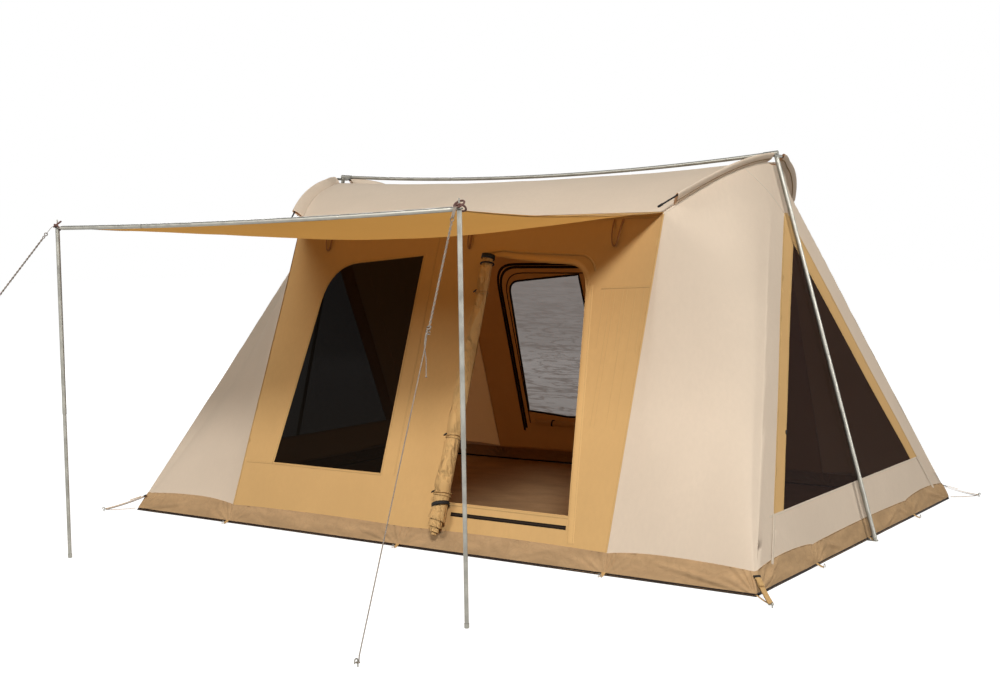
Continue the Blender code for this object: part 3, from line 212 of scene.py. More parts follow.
def flipped(p, side, facing):
    """A point or direction of the front right quarter, moved to another quarter."""
    return Vector((p.x * side, p.y * facing, p.z))


def circle(centre, u, w, radius, count=28):
    return [centre + turned(u, w, t) * radius for t in between(0, 2 * pi, count)[:-1]]


def length_of(line):
    return sum((b - a).length for a, b in zip(line, line[1:]))


# Node materials


class Nodes:
    """A node tree, with short names for the nodes that it is built from."""

    def __init__(self, tree):
        self.nodes = tree.nodes
        self.link = tree.links.new

    def feed(self, node, inputs):
        """Fills a node's inputs: numbers and colours are set, and another node's output is linked."""
        for key, value in inputs.items():
            socket = node.inputs[key]
            if isinstance(value, bpy.types.NodeSocket):
                self.link(value, socket)
            else:
                socket.default_value = (*value, 1.0) if socket.type == "RGBA" else value

    def node(self, kind, inputs, **settings):
        made = self.nodes.new(kind)
        for key, value in settings.items():
            setattr(made, key, value)
        self.feed(made, inputs)
        return made.outputs

    def place(self, stretch=(1, 1, 1), source="Object"):
        coords = self.node("ShaderNodeTexCoord", {})[source]
        return self.node("ShaderNodeMapping", {"Scale": stretch, "Vector": coords})["Vector"]

    def axes(self, source="Object"):
        return self.node("ShaderNodeSeparateXYZ", {"Vector": self.place(source=source)})

    def noise(self, scale, detail=3.0, stretch=(1, 1, 1)):
        inputs = {"Scale": scale, "Detail": detail, "Roughness": 0.55, "Vector": self.place(stretch)}
        return self.node("ShaderNodeTexNoise", inputs)["Fac"]

    def wave(self, scale, direction="X", distortion=0.0, source="UV"):
        inputs = {"Scale": scale, "Distortion": distortion, "Vector": self.place(source=source)}
        return self.node("ShaderNodeTexWave", inputs, bands_direction=direction)["Fac"]

    def cells(self, scale, place, feature="DISTANCE_TO_EDGE"):
        inputs = {"Scale": scale, "Vector": place}
        return self.node("ShaderNodeTexVoronoi", inputs, feature=feature)["Distance"]

    def maths(self, operation, *values):
        return self.node("ShaderNodeMath", dict(enumerate(values)), operation=operation)["Value"]

    def times(self, a, b):
        return self.maths("MULTIPLY", a, b)

    def gap(self, value, middle):
        return self.maths("ABSOLUTE", self.maths("SUBTRACT", value, middle))

    def spread(self, value, low, high, to_low=0.0, to_high=1.0):
        inputs = {"Value": value, "From Min": low, "From Max": high, "To Min": to_low, "To Max": to_high}
        return self.node("ShaderNodeMapRange", inputs)["Result"]

    def blend(self, share, first, second):
        inputs = {"Factor": share, "A": first, "B": second}
        return self.node("ShaderNodeMix", inputs, data_type="RGBA")["Result"]

    def seen(self):
        """1 for what the camera sees, also in a mirror or through netting, and 0 for light."""
        rays = self.node("ShaderNodeLightPath", {})
        direct = self.maths("MAXIMUM", rays["Is Camera Ray"], rays["Is Glossy Ray"])
        return self.maths("MAXIMUM", direct, rays["Is Transmission Ray"])


PAINT_INPUTS = {"metallic": "Metallic", "specular": "Specular IOR Level", "alpha": "Alpha"}
SLOT_OF = {}


class Paint(Nodes):
    """A material, kept with the name of the model's material slot that it belongs to."""

    def __init__(self, name, slot, roughness, **inputs):
        self.material = bpy.data.materials.new(name)
        self.material.use_nodes = True
        super().__init__(self.material.node_tree)
        self.shader = self.nodes["Principled BSDF"]
        self.set({"Roughness": roughness})
        self.set({PAINT_INPUTS[key]: value for key, value in inputs.items()})
        SLOT_OF[self.material] = slot

    def set(self, inputs):
        self.feed(self.shader, inputs)

    def colour(self, value):
        self.set({"Base Color": value})

    def bump(self, height, strength, distance):
        inputs = {"Height": height, "Strength": strength, "Distance": distance}
        normal = self.shader.inputs["Normal"]
        if normal.is_linked:
            inputs["Normal"] = normal.links[0].from_socket
        self.link(self.node("ShaderNodeBump", inputs)["Normal"], normal)

    def cover(self, share, other):
        """Mixes another shader over the main one."""
        both = self.node("ShaderNodeMixShader", {0: share, 1: self.shader.outputs[0], 2: other[0]})
        self.link(both[0], self.nodes["Material Output"].inputs["Surface"])


def shade(colour, factor):
    return tuple(min(1.0, c * factor) for c in colour)


def canvas(name, slot, colour, deep, glow=0.0, glow_colour=None, crumple=0.0):
    """Woven cotton: threads both ways, slubs, soft crumples and a slightly uneven dye."""
    paint = Paint(name, slot, 0.88, specular=0.02)
    cloudy = paint.spread(paint.noise(1.7, 4.0), 0.32, 0.68)
    fibres = paint.spread(paint.noise(55.0, 3.0, (1, 1, 0.35)), 0.35, 0.65)
    base = paint.blend(cloudy, shade(colour, 0.955), shade(colour, 1.03))
    base = paint.blend(paint.times(fibres, 0.35), base, shade(colour, 0.93))
    threads = paint.times(paint.wave(260.0, "X", 0.4), paint.wave(260.0, "Y", 0.4))
    paint.colour(paint.blend(paint.times(threads, 0.10), base, deep))
    paint.set({"Sheen Weight": 0.03, "Sheen Roughness": 0.6})
    paint.bump(threads, 0.25, 0.0004)
    paint.bump(paint.noise(24.0, 4.0, (1, 1, 0.6)), 0.35, 0.0016)
    paint.bump(paint.noise(6.5, 3.0, (1, 1, 0.5)), 0.40, 0.0045)
    if crumple:
        wrinkle = paint.gap(paint.noise(7.0, 3.0, (1.6, 1.6, 0.55)), 0.5)
        paint.bump(paint.spread(wrinkle, 0.0, 0.10), crumple, 0.012)
    if glow:
        paint.cover(glow, paint.node("ShaderNodeBsdfTranslucent", {"Color": glow_colour}))
    return paint.material


def insect_mesh(name, colour, cover):
    """Fine knitted netting: dark threads with light passing between them."""
    paint = Paint(name, "insect_mesh", 0.75, alpha=cover, specular=0.02)
    threads = paint.maths("ADD", paint.wave(420.0, "X"), paint.wave(420.0, "Y"))
    paint.colour(paint.blend(paint.times(threads, 0.5), shade(colour, 0.6), shade(colour, 1.5)))
    paint.bump(threads, 0.2, 0.0003)
    paint.bump(paint.noise(7.0, 3.0, (1, 1, 2.5)), 0.3, 0.003)
    return paint.material


def wrinkled_mesh(name, colour, cover):
    """Slack netting: denser where it puckers into fine level wrinkles, most of them low down, with a painted
    warm glow.
    """
    paint = Paint(name, "insect_mesh", 0.8, specular=0.02)
    paint.colour(paint.blend(paint.noise(3.0, 3.0), shade(colour, 0.8), shade(colour, 1.2)))
    low = paint.spread(paint.axes()["Z"], 1.25, 0.75, 0.25, 1.0)
    wide, narrow = (
        paint.times(paint.spread(paint.gap(paint.noise(scale, 2.0, stretch), 0.5), 0.0, 0.035, 1.0, 0.0), low)
        for scale, stretch in ((1.0, (1.6, 1, 15)), (1.3, (2.6, 1, 26)))
    )
    wrinkles = paint.maths("MAXIMUM", wide, narrow)
    grain = paint.spread(paint.noise(7.0, 4.0, (1, 1, 4)), 0.3, 0.7, cover - 0.012, cover + 0.012)
    density = paint.maths("ADD", grain, paint.times(wrinkles, 0.075))
    # The orange emission is a painted warm glow: the netting gives off light of its own.
    paint.set({"Alpha": density, "Emission Color": (0.80, 0.36, 0.10), "Emission Strength": 0.045})
    paint.bump(wrinkles, 0.5, 0.006)
    return paint.material


def steel(name, slot, colour, roughness=0.42):
    """Galvanised tube: zinc spangles and duller patches, with a painted dark reflection on top."""
    paint = Paint(name, slot, roughness, metallic=0.82)
    patches = paint.spread(paint.noise(16.0, 4.0), 0.35, 0.65)
    base = paint.blend(patches, shade(colour, 0.82), shade(colour, 1.10))
    spangles = paint.spread(paint.cells(190.0, paint.place(), "F1"), 0.0, 0.8)
    zinc = paint.blend(paint.times(spangles, 0.3), base, shade(colour, 0.7))
    # Darker where the surface faces up: a painted dark reflection along the top of each tube.
    painted_dark_top = paint.spread(paint.axes("Normal")["Z"], 0.38, 0.62, 0.0, 0.66)
    paint.colour(paint.blend(painted_dark_top, zinc, shade(colour, 0.10)))
    paint.set({"Roughness": paint.spread(patches, 0.0, 1.0, roughness - 0.10, roughness + 0.12)})
    paint.bump(paint.noise(90.0, 3.0), 0.15, 0.0004)
    return paint.material


def painted_rod(name, slot):
    paint = Paint(name, slot, 0.55, specular=0.12)
    worn = paint.spread(paint.noise(60.0, 4.0), 0.58, 0.75)
    paint.colour(paint.blend(worn, (0.012, 0.011, 0.011), (0.06, 0.055, 0.05)))
    paint.bump(paint.noise(220.0, 2.0), 0.2, 0.0003)
    return paint.material


def leather(name, slot):
    paint = Paint(name, slot, 0.55)
    paint.colour(paint.blend(paint.noise(40.0, 4.0), (0.030, 0.009, 0.006), (0.11, 0.030, 0.016)))
    paint.bump(paint.cells(900.0, paint.place()), 0.4, 0.0004)
    return paint.material


def cord_paint(name, slot, light, dark):
    """A braided cord: slanted light and dark strands."""
    paint = Paint(name, slot, 0.8)
    strands = paint.noise(420.0, 2.0)
    paint.colour(paint.blend(paint.spread(strands, 0.42, 0.58), dark, light))
    paint.bump(strands, 0.5, 0.0006)
    return paint.material


def webbing(name, slot, colour):
    paint = Paint(name, slot, 0.8)
    ribs = paint.wave(330.0, "DIAGONAL", 0.0, "Object")
    paint.colour(paint.blend(paint.times(ribs, 0.4), colour, shade(colour, 0.6)))
    paint.bump(ribs, 0.4, 0.0005)
    return paint.material


def tray_cloth(name, slot, colour):
    """Coated groundsheet: crinkled, with painted shade along its crinkles and a faint lengthwise weave."""
    paint = Paint(name, slot, 0.72, specular=0.12)
    ways = {0: paint.place((1, 2.2, 1)), 1: paint.noise(5.0, 3.0)}
    bent = paint.node("ShaderNodeVectorMath", ways, operation="ADD")["Vector"]
    ridges = paint.spread(paint.cells(9.0, bent), 0.0, 0.10)
    streaks = paint.spread(paint.noise(3.0, 5.0, (1.2, 2.6, 6.0)), 0.35, 0.65)
    base = paint.blend(streaks, shade(colour, 0.86), shade(colour, 1.08))
    # Darker along the crinkle lines: painted shade in the creases.
    paint.colour(paint.blend(paint.spread(ridges, 0.0, 1.0, 0.25, 0.0), base, shade(colour, 0.7)))
    paint.bump(ridges, 0.25, 0.002)
    paint.bump(paint.noise(18.0, 4.0), 0.4, 0.003)
    paint.bump(paint.wave(300.0, "X"), 0.15, 0.0003)
    return paint.material


def sewn_tape(name, slot, colour, thread, width=TAPE_WIDTH):
    """A sewn strip with two rows of stitches. Its UVs are metres along and across."""
    paint = Paint(name, slot, 0.88, specular=0.04)
    metres = paint.axes("UV")
    from_row = paint.gap(paint.maths("ABSOLUTE", metres["Y"]), width * 0.33)
    phase = paint.maths("FRACT", paint.times(metres["X"], 260.0))
    stitch = paint.times(paint.maths("LESS_THAN", from_row, 0.0007), paint.maths("LESS_THAN", phase, 0.68))
    cloudy = paint.blend(paint.noise(9.0, 3.0), shade(colour, 0.93), shade(colour, 1.03))
    paint.colour(paint.blend(stitch, cloudy, thread))
    paint.bump(paint.noise(300.0, 2.0), 0.25, 0.0004)
    paint.bump(stitch, 0.6, 0.0006)
    return paint.material


def zip_paint(name, slot):
    """Coil zip: a band of fine teeth down the middle of its black tape."""
    paint = Paint(name, slot, 0.7, specular=0.06)
    metres = paint.axes("UV")
    middle = paint.maths("LESS_THAN", paint.maths("ABSOLUTE", metres["Y"]), 0.0035)
    teeth = paint.maths("FRACT", paint.times(metres["X"], 400.0))
    ridge = paint.times(middle, paint.spread(teeth, 0.0, 1.0))
    paint.colour(paint.blend(ridge, (0.012, 0.008, 0.006), (0.045, 0.032, 0.024)))
    paint.bump(ridge, 0.7, 0.0012)
    return paint.material


def plastic(name, slot, colour):
    paint = Paint(name, slot, 0.5, specular=0.10)
    paint.colour(paint.blend(paint.noise(70.0, 3.0), shade(colour, 0.8), shade(colour, 1.3)))
    paint.bump(paint.noise(260.0, 2.0), 0.2, 0.0003)
    return paint.material


CREAM_COLOUR = (0.70, 0.585, 0.46)
TAN_COLOUR = (0.62, 0.39, 0.165)
BROWN_COLOUR = (0.44, 0.285, 0.150)
CREAM_DEEP = shade(CREAM_COLOUR, 0.7)
TAN_DEEP = shade(TAN_COLOUR, 0.7)
TAN_DARK = shade(TAN_COLOUR, 0.6)
CREAM_GLOW = (0.85, 0.36, 0.11)
ORANGE_GLOW = (0.80, 0.24, 0.04)
AWNING_GLOW = (0.74, 0.37, 0.085)

CREAM = canvas("cream_canvas_woven", "cream_canvas", CREAM_COLOUR, CREAM_DEEP, 0.09, CREAM_GLOW)
TAN = canvas("tan_canvas_woven", "tan_canvas", TAN_COLOUR, TAN_DEEP, 0.035, ORANGE_GLOW)
AWNING_CLOTH = canvas("awning_canvas_woven", "tan_canvas", TAN_COLOUR, TAN_DEEP, 0.28, AWNING_GLOW)
# The rolled door's canvas is a slightly darker copy of the tan: painted shade on the roll. Its crumples are
# bump.
ROLLED_TAN_SHADED = canvas("rolled_canvas_shaded", "tan_canvas", shade(TAN_COLOUR, 0.95), TAN_DARK, 0.02, ORANGE_GLOW, 0.9)
# The hood fold's tan is a darker copy of the canvas: painted shade along the crease over the door.
HOOD_FOLD_SHADE = canvas("hood_fold_shaded_canvas", "tan_canvas", shade(TAN_COLOUR, 0.86), TAN_DARK)
TRAY = tray_cloth("tray_fabric", "brown_fabric", BROWN_COLOUR)
DARK_SCREEN = insect_mesh("window_netting", (0.004, 0.003, 0.002), 0.952)
SIDE_SCREEN = insect_mesh("gable_netting", (0.016, 0.011, 0.010), 0.90)
PALE_SCREEN = wrinkled_mesh("back_window_netting", (0.12, 0.080, 0.045), 0.84)
GALVANISED = steel("zinc_tube", "galvanised_steel", (0.33, 0.32, 0.28))
ROD_BLACK = painted_rod("spring_rod_paint", "black_rod")
LEATHER = leather("strap_leather", "brown_leather")
ROPE_PAINT = cord_paint("guy_braid", "guy_cord", (0.30, 0.25, 0.20), (0.16, 0.13, 0.105))
ZIP = zip_paint("zip_coil", "dark_plastic")
DARK_PLASTIC = plastic("toggle_plastic", "dark_plastic", (0.02, 0.018, 0.016))
# Near-black plastic for a thin strip round the band's foot: painted contact shadow where the band meets the
# floor.
CONTACT_SHADE = plastic("tray_contact_shade_paint", "brown_fabric", (0.012, 0.006, 0.003))
WEBBING = webbing("tan_webbing_weave", "tan_webbing", (0.53, 0.33, 0.13))
# A darker copy of the tan webbing for the eave loops: painted shade on loops that hang under the awning.
SHADED_LOOP_WEBBING = webbing("loop_webbing_shaded_weave", "tan_webbing", (0.30, 0.13, 0.035))
CREAM_THREAD = shade(CREAM_COLOUR, 0.72)
BROWN_THREAD = shade(BROWN_COLOUR, 0.4)
CREAM_TAPE = sewn_tape("cream_seam_tape", "cream_canvas", shade(CREAM_COLOUR, 0.96), CREAM_THREAD)
TAN_TAPE = sewn_tape("tan_seam_tape", "tan_canvas", shade(TAN_COLOUR, 0.94), TAN_DARK)
JAMB_TAPE = sewn_tape("door_jamb_binding", "tan_canvas", shade(TAN_COLOUR, 1.04), TAN_DARK, JAMB_WIDTH)
# Dark brown tape along the foot of each sleeve: a raised seam strip whose colour is painted shade.
BOW_SHADE_TAPE = sewn_tape("bow_seam_shade_binding", "cream_canvas", (0.30, 0.205, 0.12), (0.19, 0.12, 0.07))
BAND_TAPE = sewn_tape("band_seam_binding", "brown_fabric", shade(BROWN_COLOUR, 0.66), BROWN_THREAD)

# Shapes

SHARP_ANGLE = radians(50)


def add_object(name, mesh, finish, body="tent", instead_of=(), slot=None):
    """Links a mesh as one piece with its finish, riding on a body. The slot argument is not used."""
    mesh.materials.clear()
    mesh.materials.append(finish)
    made = bpy.data.objects.new(name, mesh)
    bpy.context.scene.collection.objects.link(made)
    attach(made, body)
    slot or SLOT_OF[finish]
    for node in instead_of:
        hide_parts(node)
    return made


def mesh_from(name, points, faces, uvs=None):
    mesh = bpy.data.meshes.new(name)
    mesh.from_pydata([tuple(p) for p in points], [], faces)
    mesh.update()
    if uvs is not None:
        layer = mesh.uv_layers.new(name="UVMap")
        layer.data.foreach_set("uv", [value for loop in mesh.loops for value in uvs[loop.vertex_index]])
    mesh.shade_smooth()
    return mesh


def quads(rows, across, closed=False):
    """The faces between neighbouring rows of points."""
    faces = []
    for first in range(0, (rows - 1) * across, across):
        for j in range(across if closed else across - 1):
            k = (j + 1) % across
            faces.append((first + j, first + k, first + across + k, first + across + j))
    return faces


def grid_mesh(name, rows):
    """A surface through rows of points. Its UVs are metres along the rows and down them."""
    uvs = []
    down = [0.0] * len(rows[0])
    for i, row in enumerate(rows):
        along = 0.0
        for j, p in enumerate(row):
            along += (p - row[j - 1]).length if j else 0.0
            down[j] += (p - rows[i - 1][j]).length if i else 0.0
            uvs.append((along, down[j]))
    return mesh_from(name, [p for row in rows for p in row], quads(len(rows), len(rows[0])), uvs)


def lay(name, rows, finish, *options, **more):
    """One piece of cloth or tape through rows of points."""
    return add_object(name, grid_mesh(name, rows), finish, *options, **more)


def closed_loft(name, rings):
    """A solid through closed rings of points."""
    count = len(rings[0])
    last = (len(rings) - 1) * count
    faces = quads(len(rings), count, True)
    faces += [tuple(range(count))[::-1], tuple(range(last, last + count))]
    mesh = mesh_from(name, [p for ring in rings for p in ring], faces)
    mesh.set_sharp_from_angle(angle=SHARP_ANGLE)
    return mesh


def inside(outline, points):
    """Which of the points lie inside a closed outline."""
    edge = np.array(outline)
    after = np.roll(edge, -1, axis=0)
    x, y = points[:, 0:1], points[:, 1:2]
    crosses = (edge[:, 1] > y) != (after[:, 1] > y)
    rise = np.where(after[:, 1] == edge[:, 1], 1e-12, after[:, 1] - edge[:, 1])
    where = edge[:, 0] + (y - edge[:, 1]) / rise * (after[:, 0] - edge[:, 0])
    return (crosses & (x < where)).sum(1) % 2 == 1


def stepped(points, spacing=0.025):
    """An open line with a point at least every spacing."""
    made = []
    for start, end in zip(points, points[1:]):
        steps = max(1, round(dist(start, end) / spacing))
        made += [mix_pair(start, end, i / steps) for i in range(steps)]
    return made + [points[-1]]


def cut_cloth(outline, holes, spacing):
    """Triangles that fill an outline and leave its holes open, as (flat points, faces)."""
    loops = [stepped(loop + loop[:1], spacing)[:-1] for loop in (outline, *holes)]
    points, edges = [], []
    for loop in loops:
        first = len(points)
        points += loop
        edges += [(first + i, first + (i + 1) % len(loop)) for i in range(len(loop))]

    def uncut(spots):
        keep = inside(loops[0], spots)
        for hole in loops[1:]:
            keep &= ~inside(hole, spots)
        return keep

    low, high = np.min(loops[0], axis=0), np.max(loops[0], axis=0)
    xs, ys = (np.arange(low[i] + spacing * 0.5, high[i], spacing) for i in (0, 1))
    field = np.array([(x, y) for y in ys for x in xs])
    keep = uncut(field)
    rim = np.array(points)
    for k in np.nonzero(keep)[0]:
        if np.min(np.abs(rim - field[k]).max(1)) < spacing * 0.4:
            keep[k] = False
    points += [tuple(p) for p in field[keep]]
    made = delaunay_2d_cdt([Vector(p) for p in points], edges, [], 0, 1e-6)
    flat, faces = made[0], made[2]
    wanted = uncut(np.array([np.mean([flat[i] for i in face], axis=0) for face in faces]))
    return flat, [tuple(face) for face, use in zip(faces, wanted) if use]


# Folds in the cloth

FOLD_DEPTH = 0.0045
CREASE_DEPTH = 0.0014


def folds(p, depth=1.0):
    """How far the cloth stands out from its plain surface at a point: long soft folds and small creases."""
    long = rough(p.x * 2.1, p.y * 2.1, p.z * 0.8)
    short = rough(p.x * 6.5 + 7.0, p.y * 6.5, p.z * 3.2)
    return depth * (FOLD_DEPTH * long + CREASE_DEPTH * short)


class Panel:
    """A sloping plane of the tent that faces (x, y): x across it, height above the ground, lift off it."""

    def __init__(self, x, y, half, slope):
        self.outward = Vector((x * cos(slope), y * cos(slope), sin(slope)))
        self.up = Vector((-self.outward.x, -self.outward.y, 0)).normalized() * sin(slope) + UP * cos(slope)
        self.across = self.up.cross(self.outward)
        self.base = Vector((x * half, y * half, 0))
        self.slope = slope

    def at(self, x, height, lift=0.0):
        p = self.base + self.across * x + self.up * (height / cos(self.slope))
        return p + self.outward * (lift - CLOTH_DEPTH + folds(p))

    def cloth(self, name, outline, holes, finish, spacing=0.03, depth=None, **options):
        """Cuts the outline from cloth and lays it on the plane."""
        steep = cos(self.slope)
        loops = [[(x, height / steep) for x, height in loop] for loop in (outline, *holes)]
        flat, faces = cut_cloth(loops[0], loops[1:], spacing)
        points = []
        for x, y in flat:
            height = y * steep
            points.append(self.at(x, height, depth(x, height) if depth else 0.0))
        mesh = mesh_from(name, points, faces, [tuple(p) for p in flat])
        return add_object(name, mesh, finish, **options)


FRONT, BACK = (Panel(0, y, HALF_D, WALL_SLOPE) for y in (-1, 1))
GABLES = {x: Panel(x, 0, HALF_W, GABLE_SLOPE) for x in (-1, 1)}


def rounded(corners, radius, steps=8):
    """A closed outline with each marked corner rounded. Corners are (x, z, is_round)."""
    outline = []
    for i, (x, z, is_round) in enumerate(corners):
        if not is_round:
            outline.append((x, z))
            continue
        here = Vector((x, z))
        before = Vector(corners[i - 1][:2]) - here
        after = Vector(corners[(i + 1) % len(corners)][:2]) - here
        start = here + before.normalized() * radius
        end = here + after.normalized() * radius
        outline += [tuple(start.lerp(here, t).lerp(here.lerp(end, t), t)) for t in between(0, 1, steps)]
    return outline


def flared(outer, flare, z):
    """Where an opening's slanting side stands at a height."""
    return outer + flare * (OPENING_FLARE_FROM - z)


def door_jamb(z):
    return flared(OPENING_OUTER, OPENING_FLARE, z)


def opening_outline(inner, sill, inset=0.0, corner=OPENING_CORNER):
    """The front openings' outline: flared outer side, falling top and a round outer corner."""

    def outer(z):
        return door_jamb(z) - inset

    def top(x):
        return OPENING_TOP - OPENING_TOP_FALL * (x - WINDOW_INNER) - inset

    low, near = sill + inset, inner + inset
    high = top(outer(OPENING_TOP))
    foot = [(near, low, False), (outer(low), low, False)]
    return rounded([*foot, (outer(high), high, True), (near, top(near), False)], corner)


def back_outline(inset=0.0):
    """The back door's outline: straight sewn edge, flared zip edge and a round upper corner."""
    low, high = DOOR_SILL + inset, BACK_DOOR_TOP - inset
    far_low, far_high = (flared(BACK_DOOR_OUTER, BACK_DOOR_FLARE, z) - inset for z in (low, high))
    near = BACK_DOOR_INNER + inset
    corners = [(near, low, False), (far_low, low, False), (far_high, high, True), (near, high, False)]
    return rounded(corners, BACK_DOOR_CORNER)


def back_window_outline(inset=0.0):
    """The back window's outline, which hangs a little out of square."""
    low, high = BACK_WINDOW_SILL + inset, BACK_WINDOW_TOP - inset
    far_low, far_high = (flared(BACK_WINDOW_OUTER, BACK_WINDOW_FLARE, z) - inset for z in (low, high))
    near = BACK_WINDOW_INNER + inset
    corners = [(near, low + 0.008, False), (mix(near, far_low, 0.5), low - 0.004, False)]
    corners += [(far_low, low + 0.026, False), (far_high, high - 0.020, True), (near, high + 0.034, False)]
    return rounded(corners, BACK_WINDOW_CORNER)


def mirrored(outline):
    return [(-x, z) for x, z in outline]


# The tent's curved cloth, as in the part's source

HUB_NOTCH_HALF = 0.068
HUB_NOTCH_DEPTH = 0.055
CROWN_CUT = 0.35
NUDGE = 0.004
HALVINGS = 30


def tuck(y, quarter):
    """How far the cloth of one quarter is drawn in along its bow, beyond the hub's socket."""
    return TUCKS[quarter] * ease(ramp(abs(y), *TUCK_SPAN))


def roof_edge(y, quarter=FRONT_RIGHT):
    """The seam of roof and gable under a bow, given as if for the front right quarter."""
    drop = EDGE_ARCH * y * y
    return Vector((RIDGE_HALF - EDGE_LEAN * drop - tuck(y, quarter), y, RIDGE_HEIGHT - drop))


def wall(a, v, quarter=FRONT_RIGHT):
    """The cloth of the front quarter, given as if for the right-hand one: a runs from the middle of the
    front to the middle of the gable (tan panel to 1, corner from 1 to 3, gable to 4), v from the ground
    to the roof."""
    if a <= 1:
        corner = roof_edge(-EAVE_HALF_D, quarter)
        foot = Vector((PANEL_HALF_WIDTH * a, -HALF_D, 0))
        head = Vector((corner.x * a, -EAVE_HALF_D, corner.z))
    else:
        soft = mix(CORNER_SOFTNESS, CORNER_SOFTNESS_HIGH, ramp(v, 0.04, 0.45))
        to_corner = ramp(a, 1, 2 + soft)
        foot = Vector((mix(PANEL_HALF_WIDTH, HALF_W, ease(to_corner)), -HALF_D * (1 - ramp(a, 3, 4)), 0))
        head = roof_edge(-EAVE_HALF_D * (1 - ease(ramp(a, 2 - soft, 3))), quarter)
    window = ease(ramp(a, *PULL_RISE)) * (1 - ease(ramp(a, *PULL_FALL)))
    pull, skew = CORNER_PULLS[quarter]
    inward = pull * (1 + skew * (2 * v - 1)) * 4 * v * (1 - v) * window
    turn = pi / 2 * ramp(a, 1, 3)
    return foot.lerp(head, v) + inward * Vector((-sin(turn), cos(turn), 0))


def wall_spot(a, v, flip, lift=0.0):
    """A point of the wall cloth in one quarter, with its folds, and the way it faces."""
    near_v = min(0.97, max(0.03, v))
    along = wall(min(4, a + NUDGE), near_v, flip) - wall(max(0, a - NUDGE), near_v, flip)
    up = wall(a, near_v + NUDGE, flip) - wall(a, near_v - NUDGE, flip)
    normal = flipped(along.cross(up).normalized(), *flip)
    p = flipped(wall(a, v, flip), *flip)
    at_corner = ease(ramp(a, 1.9, 2.4)) * (1 - ease(ramp(a, 2.95, 3.1))) * (1 - ramp(v, 0.05, 0.35))
    return p + normal * (lift - CLOTH_DEPTH + folds(p) * (1 - at_corner)), normal


def wall_at(a, v, flip, lift=0.0):
    return wall_spot(a, v, flip, lift)[0]


def gable_seam(z):
    """Half the width of the tan gable panel at height z, out to its seam."""
    return mix(GABLE_FOOT_HALF, GABLE_NECK, ramp(z, 0, GABLE_APEX_HEIGHT))


def side_seam(z):
    if z < GABLE_APEX_HEIGHT:
        return gable_seam(z)
    return mix(GABLE_NECK, GABLE_TOP_HALF, ramp(z, GABLE_APEX_HEIGHT, roof_edge(GABLE_TOP_HALF).z))


def find_across(v, flip, wanted):
    """The wall parameter a at which a row stands a wanted distance from the gable's middle."""
    low, high = 2.0 - CORNER_SOFTNESS, 4.0
    for _ in range(HALVINGS):
        a = (low + high) / 2
        at = wall(a, v, flip)
        if abs(at.y) > wanted(at.z):
            low = a
        else:
            high = a
    return (low + high) / 2


def roof_point(share, y):
    """The roof's seam surface, share from -1 at the left bow to 1 at the right."""
    end = 1 if y < 0 else -1
    left, right = roof_edge(y, (-1, end)), roof_edge(y, (1, end))
    sag = RIDGE_SAG * (1 - (y / EAVE_HALF_D) ** 2)
    return Vector((mix(-left.x, right.x, (share + 1) / 2), y, right.z - sag * (1 - share * share)))


def hub_notch(y):
    """How deep the cloth is cut back round the hub, at a distance from the ridge."""
    return HUB_NOTCH_DEPTH * sqrt(max(0.0, 1 - (y / HUB_NOTCH_HALF) ** 2))


def roof_at(share, y):
    share *= 1 - hub_notch(y) / RIDGE_HALF
    p = roof_point(share, y)
    return p + UP * (CLOTH_DEPTH + folds(p) * (1 - share**4) * (1 - (y / EAVE_HALF_D) ** 8))


def bar_height(x):
    share = (x - AWNING_SHIFT) / BAR_HALF
    return BAR_HEIGHT + BAR_LIFT * share - BAR_SAG * (1 - share * share)


def awning_at(share, reach):
    """A point of the awning: share from -1 to 1 across, reach from 0 at the eave to 1 at the bar."""
    eave_x = mix(TUCKS[-1, 1] - EAVE_HALF_W, EAVE_HALF_W, (share + 1) / 2)
    x = mix(eave_x, AWNING_SHIFT + (BAR_HALF - LUG_LENGTH) * share, reach)
    y = mix(AWNING_HINGE_Y, BAR_Y + BAR_RADIUS, reach)
    z = mix(EAVE_HEIGHT - 0.003, bar_height(x), reach)
    belly = AWNING_EDGE_SAG + (AWNING_SAG - AWNING_EDGE_SAG) * (1 - share * share) * (1 + 0.45 * share)
    hang = 4 * reach * (1 - reach)
    p = Vector((x, y, z - belly * hang))
    return p + UP * (folds(p, 1.6) * hang)


# Sheets


def area_of(piece):
    return sum(face.area for face in piece.data.polygons)


def as_sheet(piece):
    """Measures a panel's cut from its mesh: width, length and area."""
    co = np.array([v.co for v in piece.data.vertices])
    centred = co - co.mean(0)
    spans = np.linalg.svd(centred, full_matrices=False)[2] @ centred.T
    width, length = [float(np.ptp(row)) for row in spans[:2]]
    area = area_of(piece)
    if area < 0.5 * width * length:
        length = area / (0.7 * width)


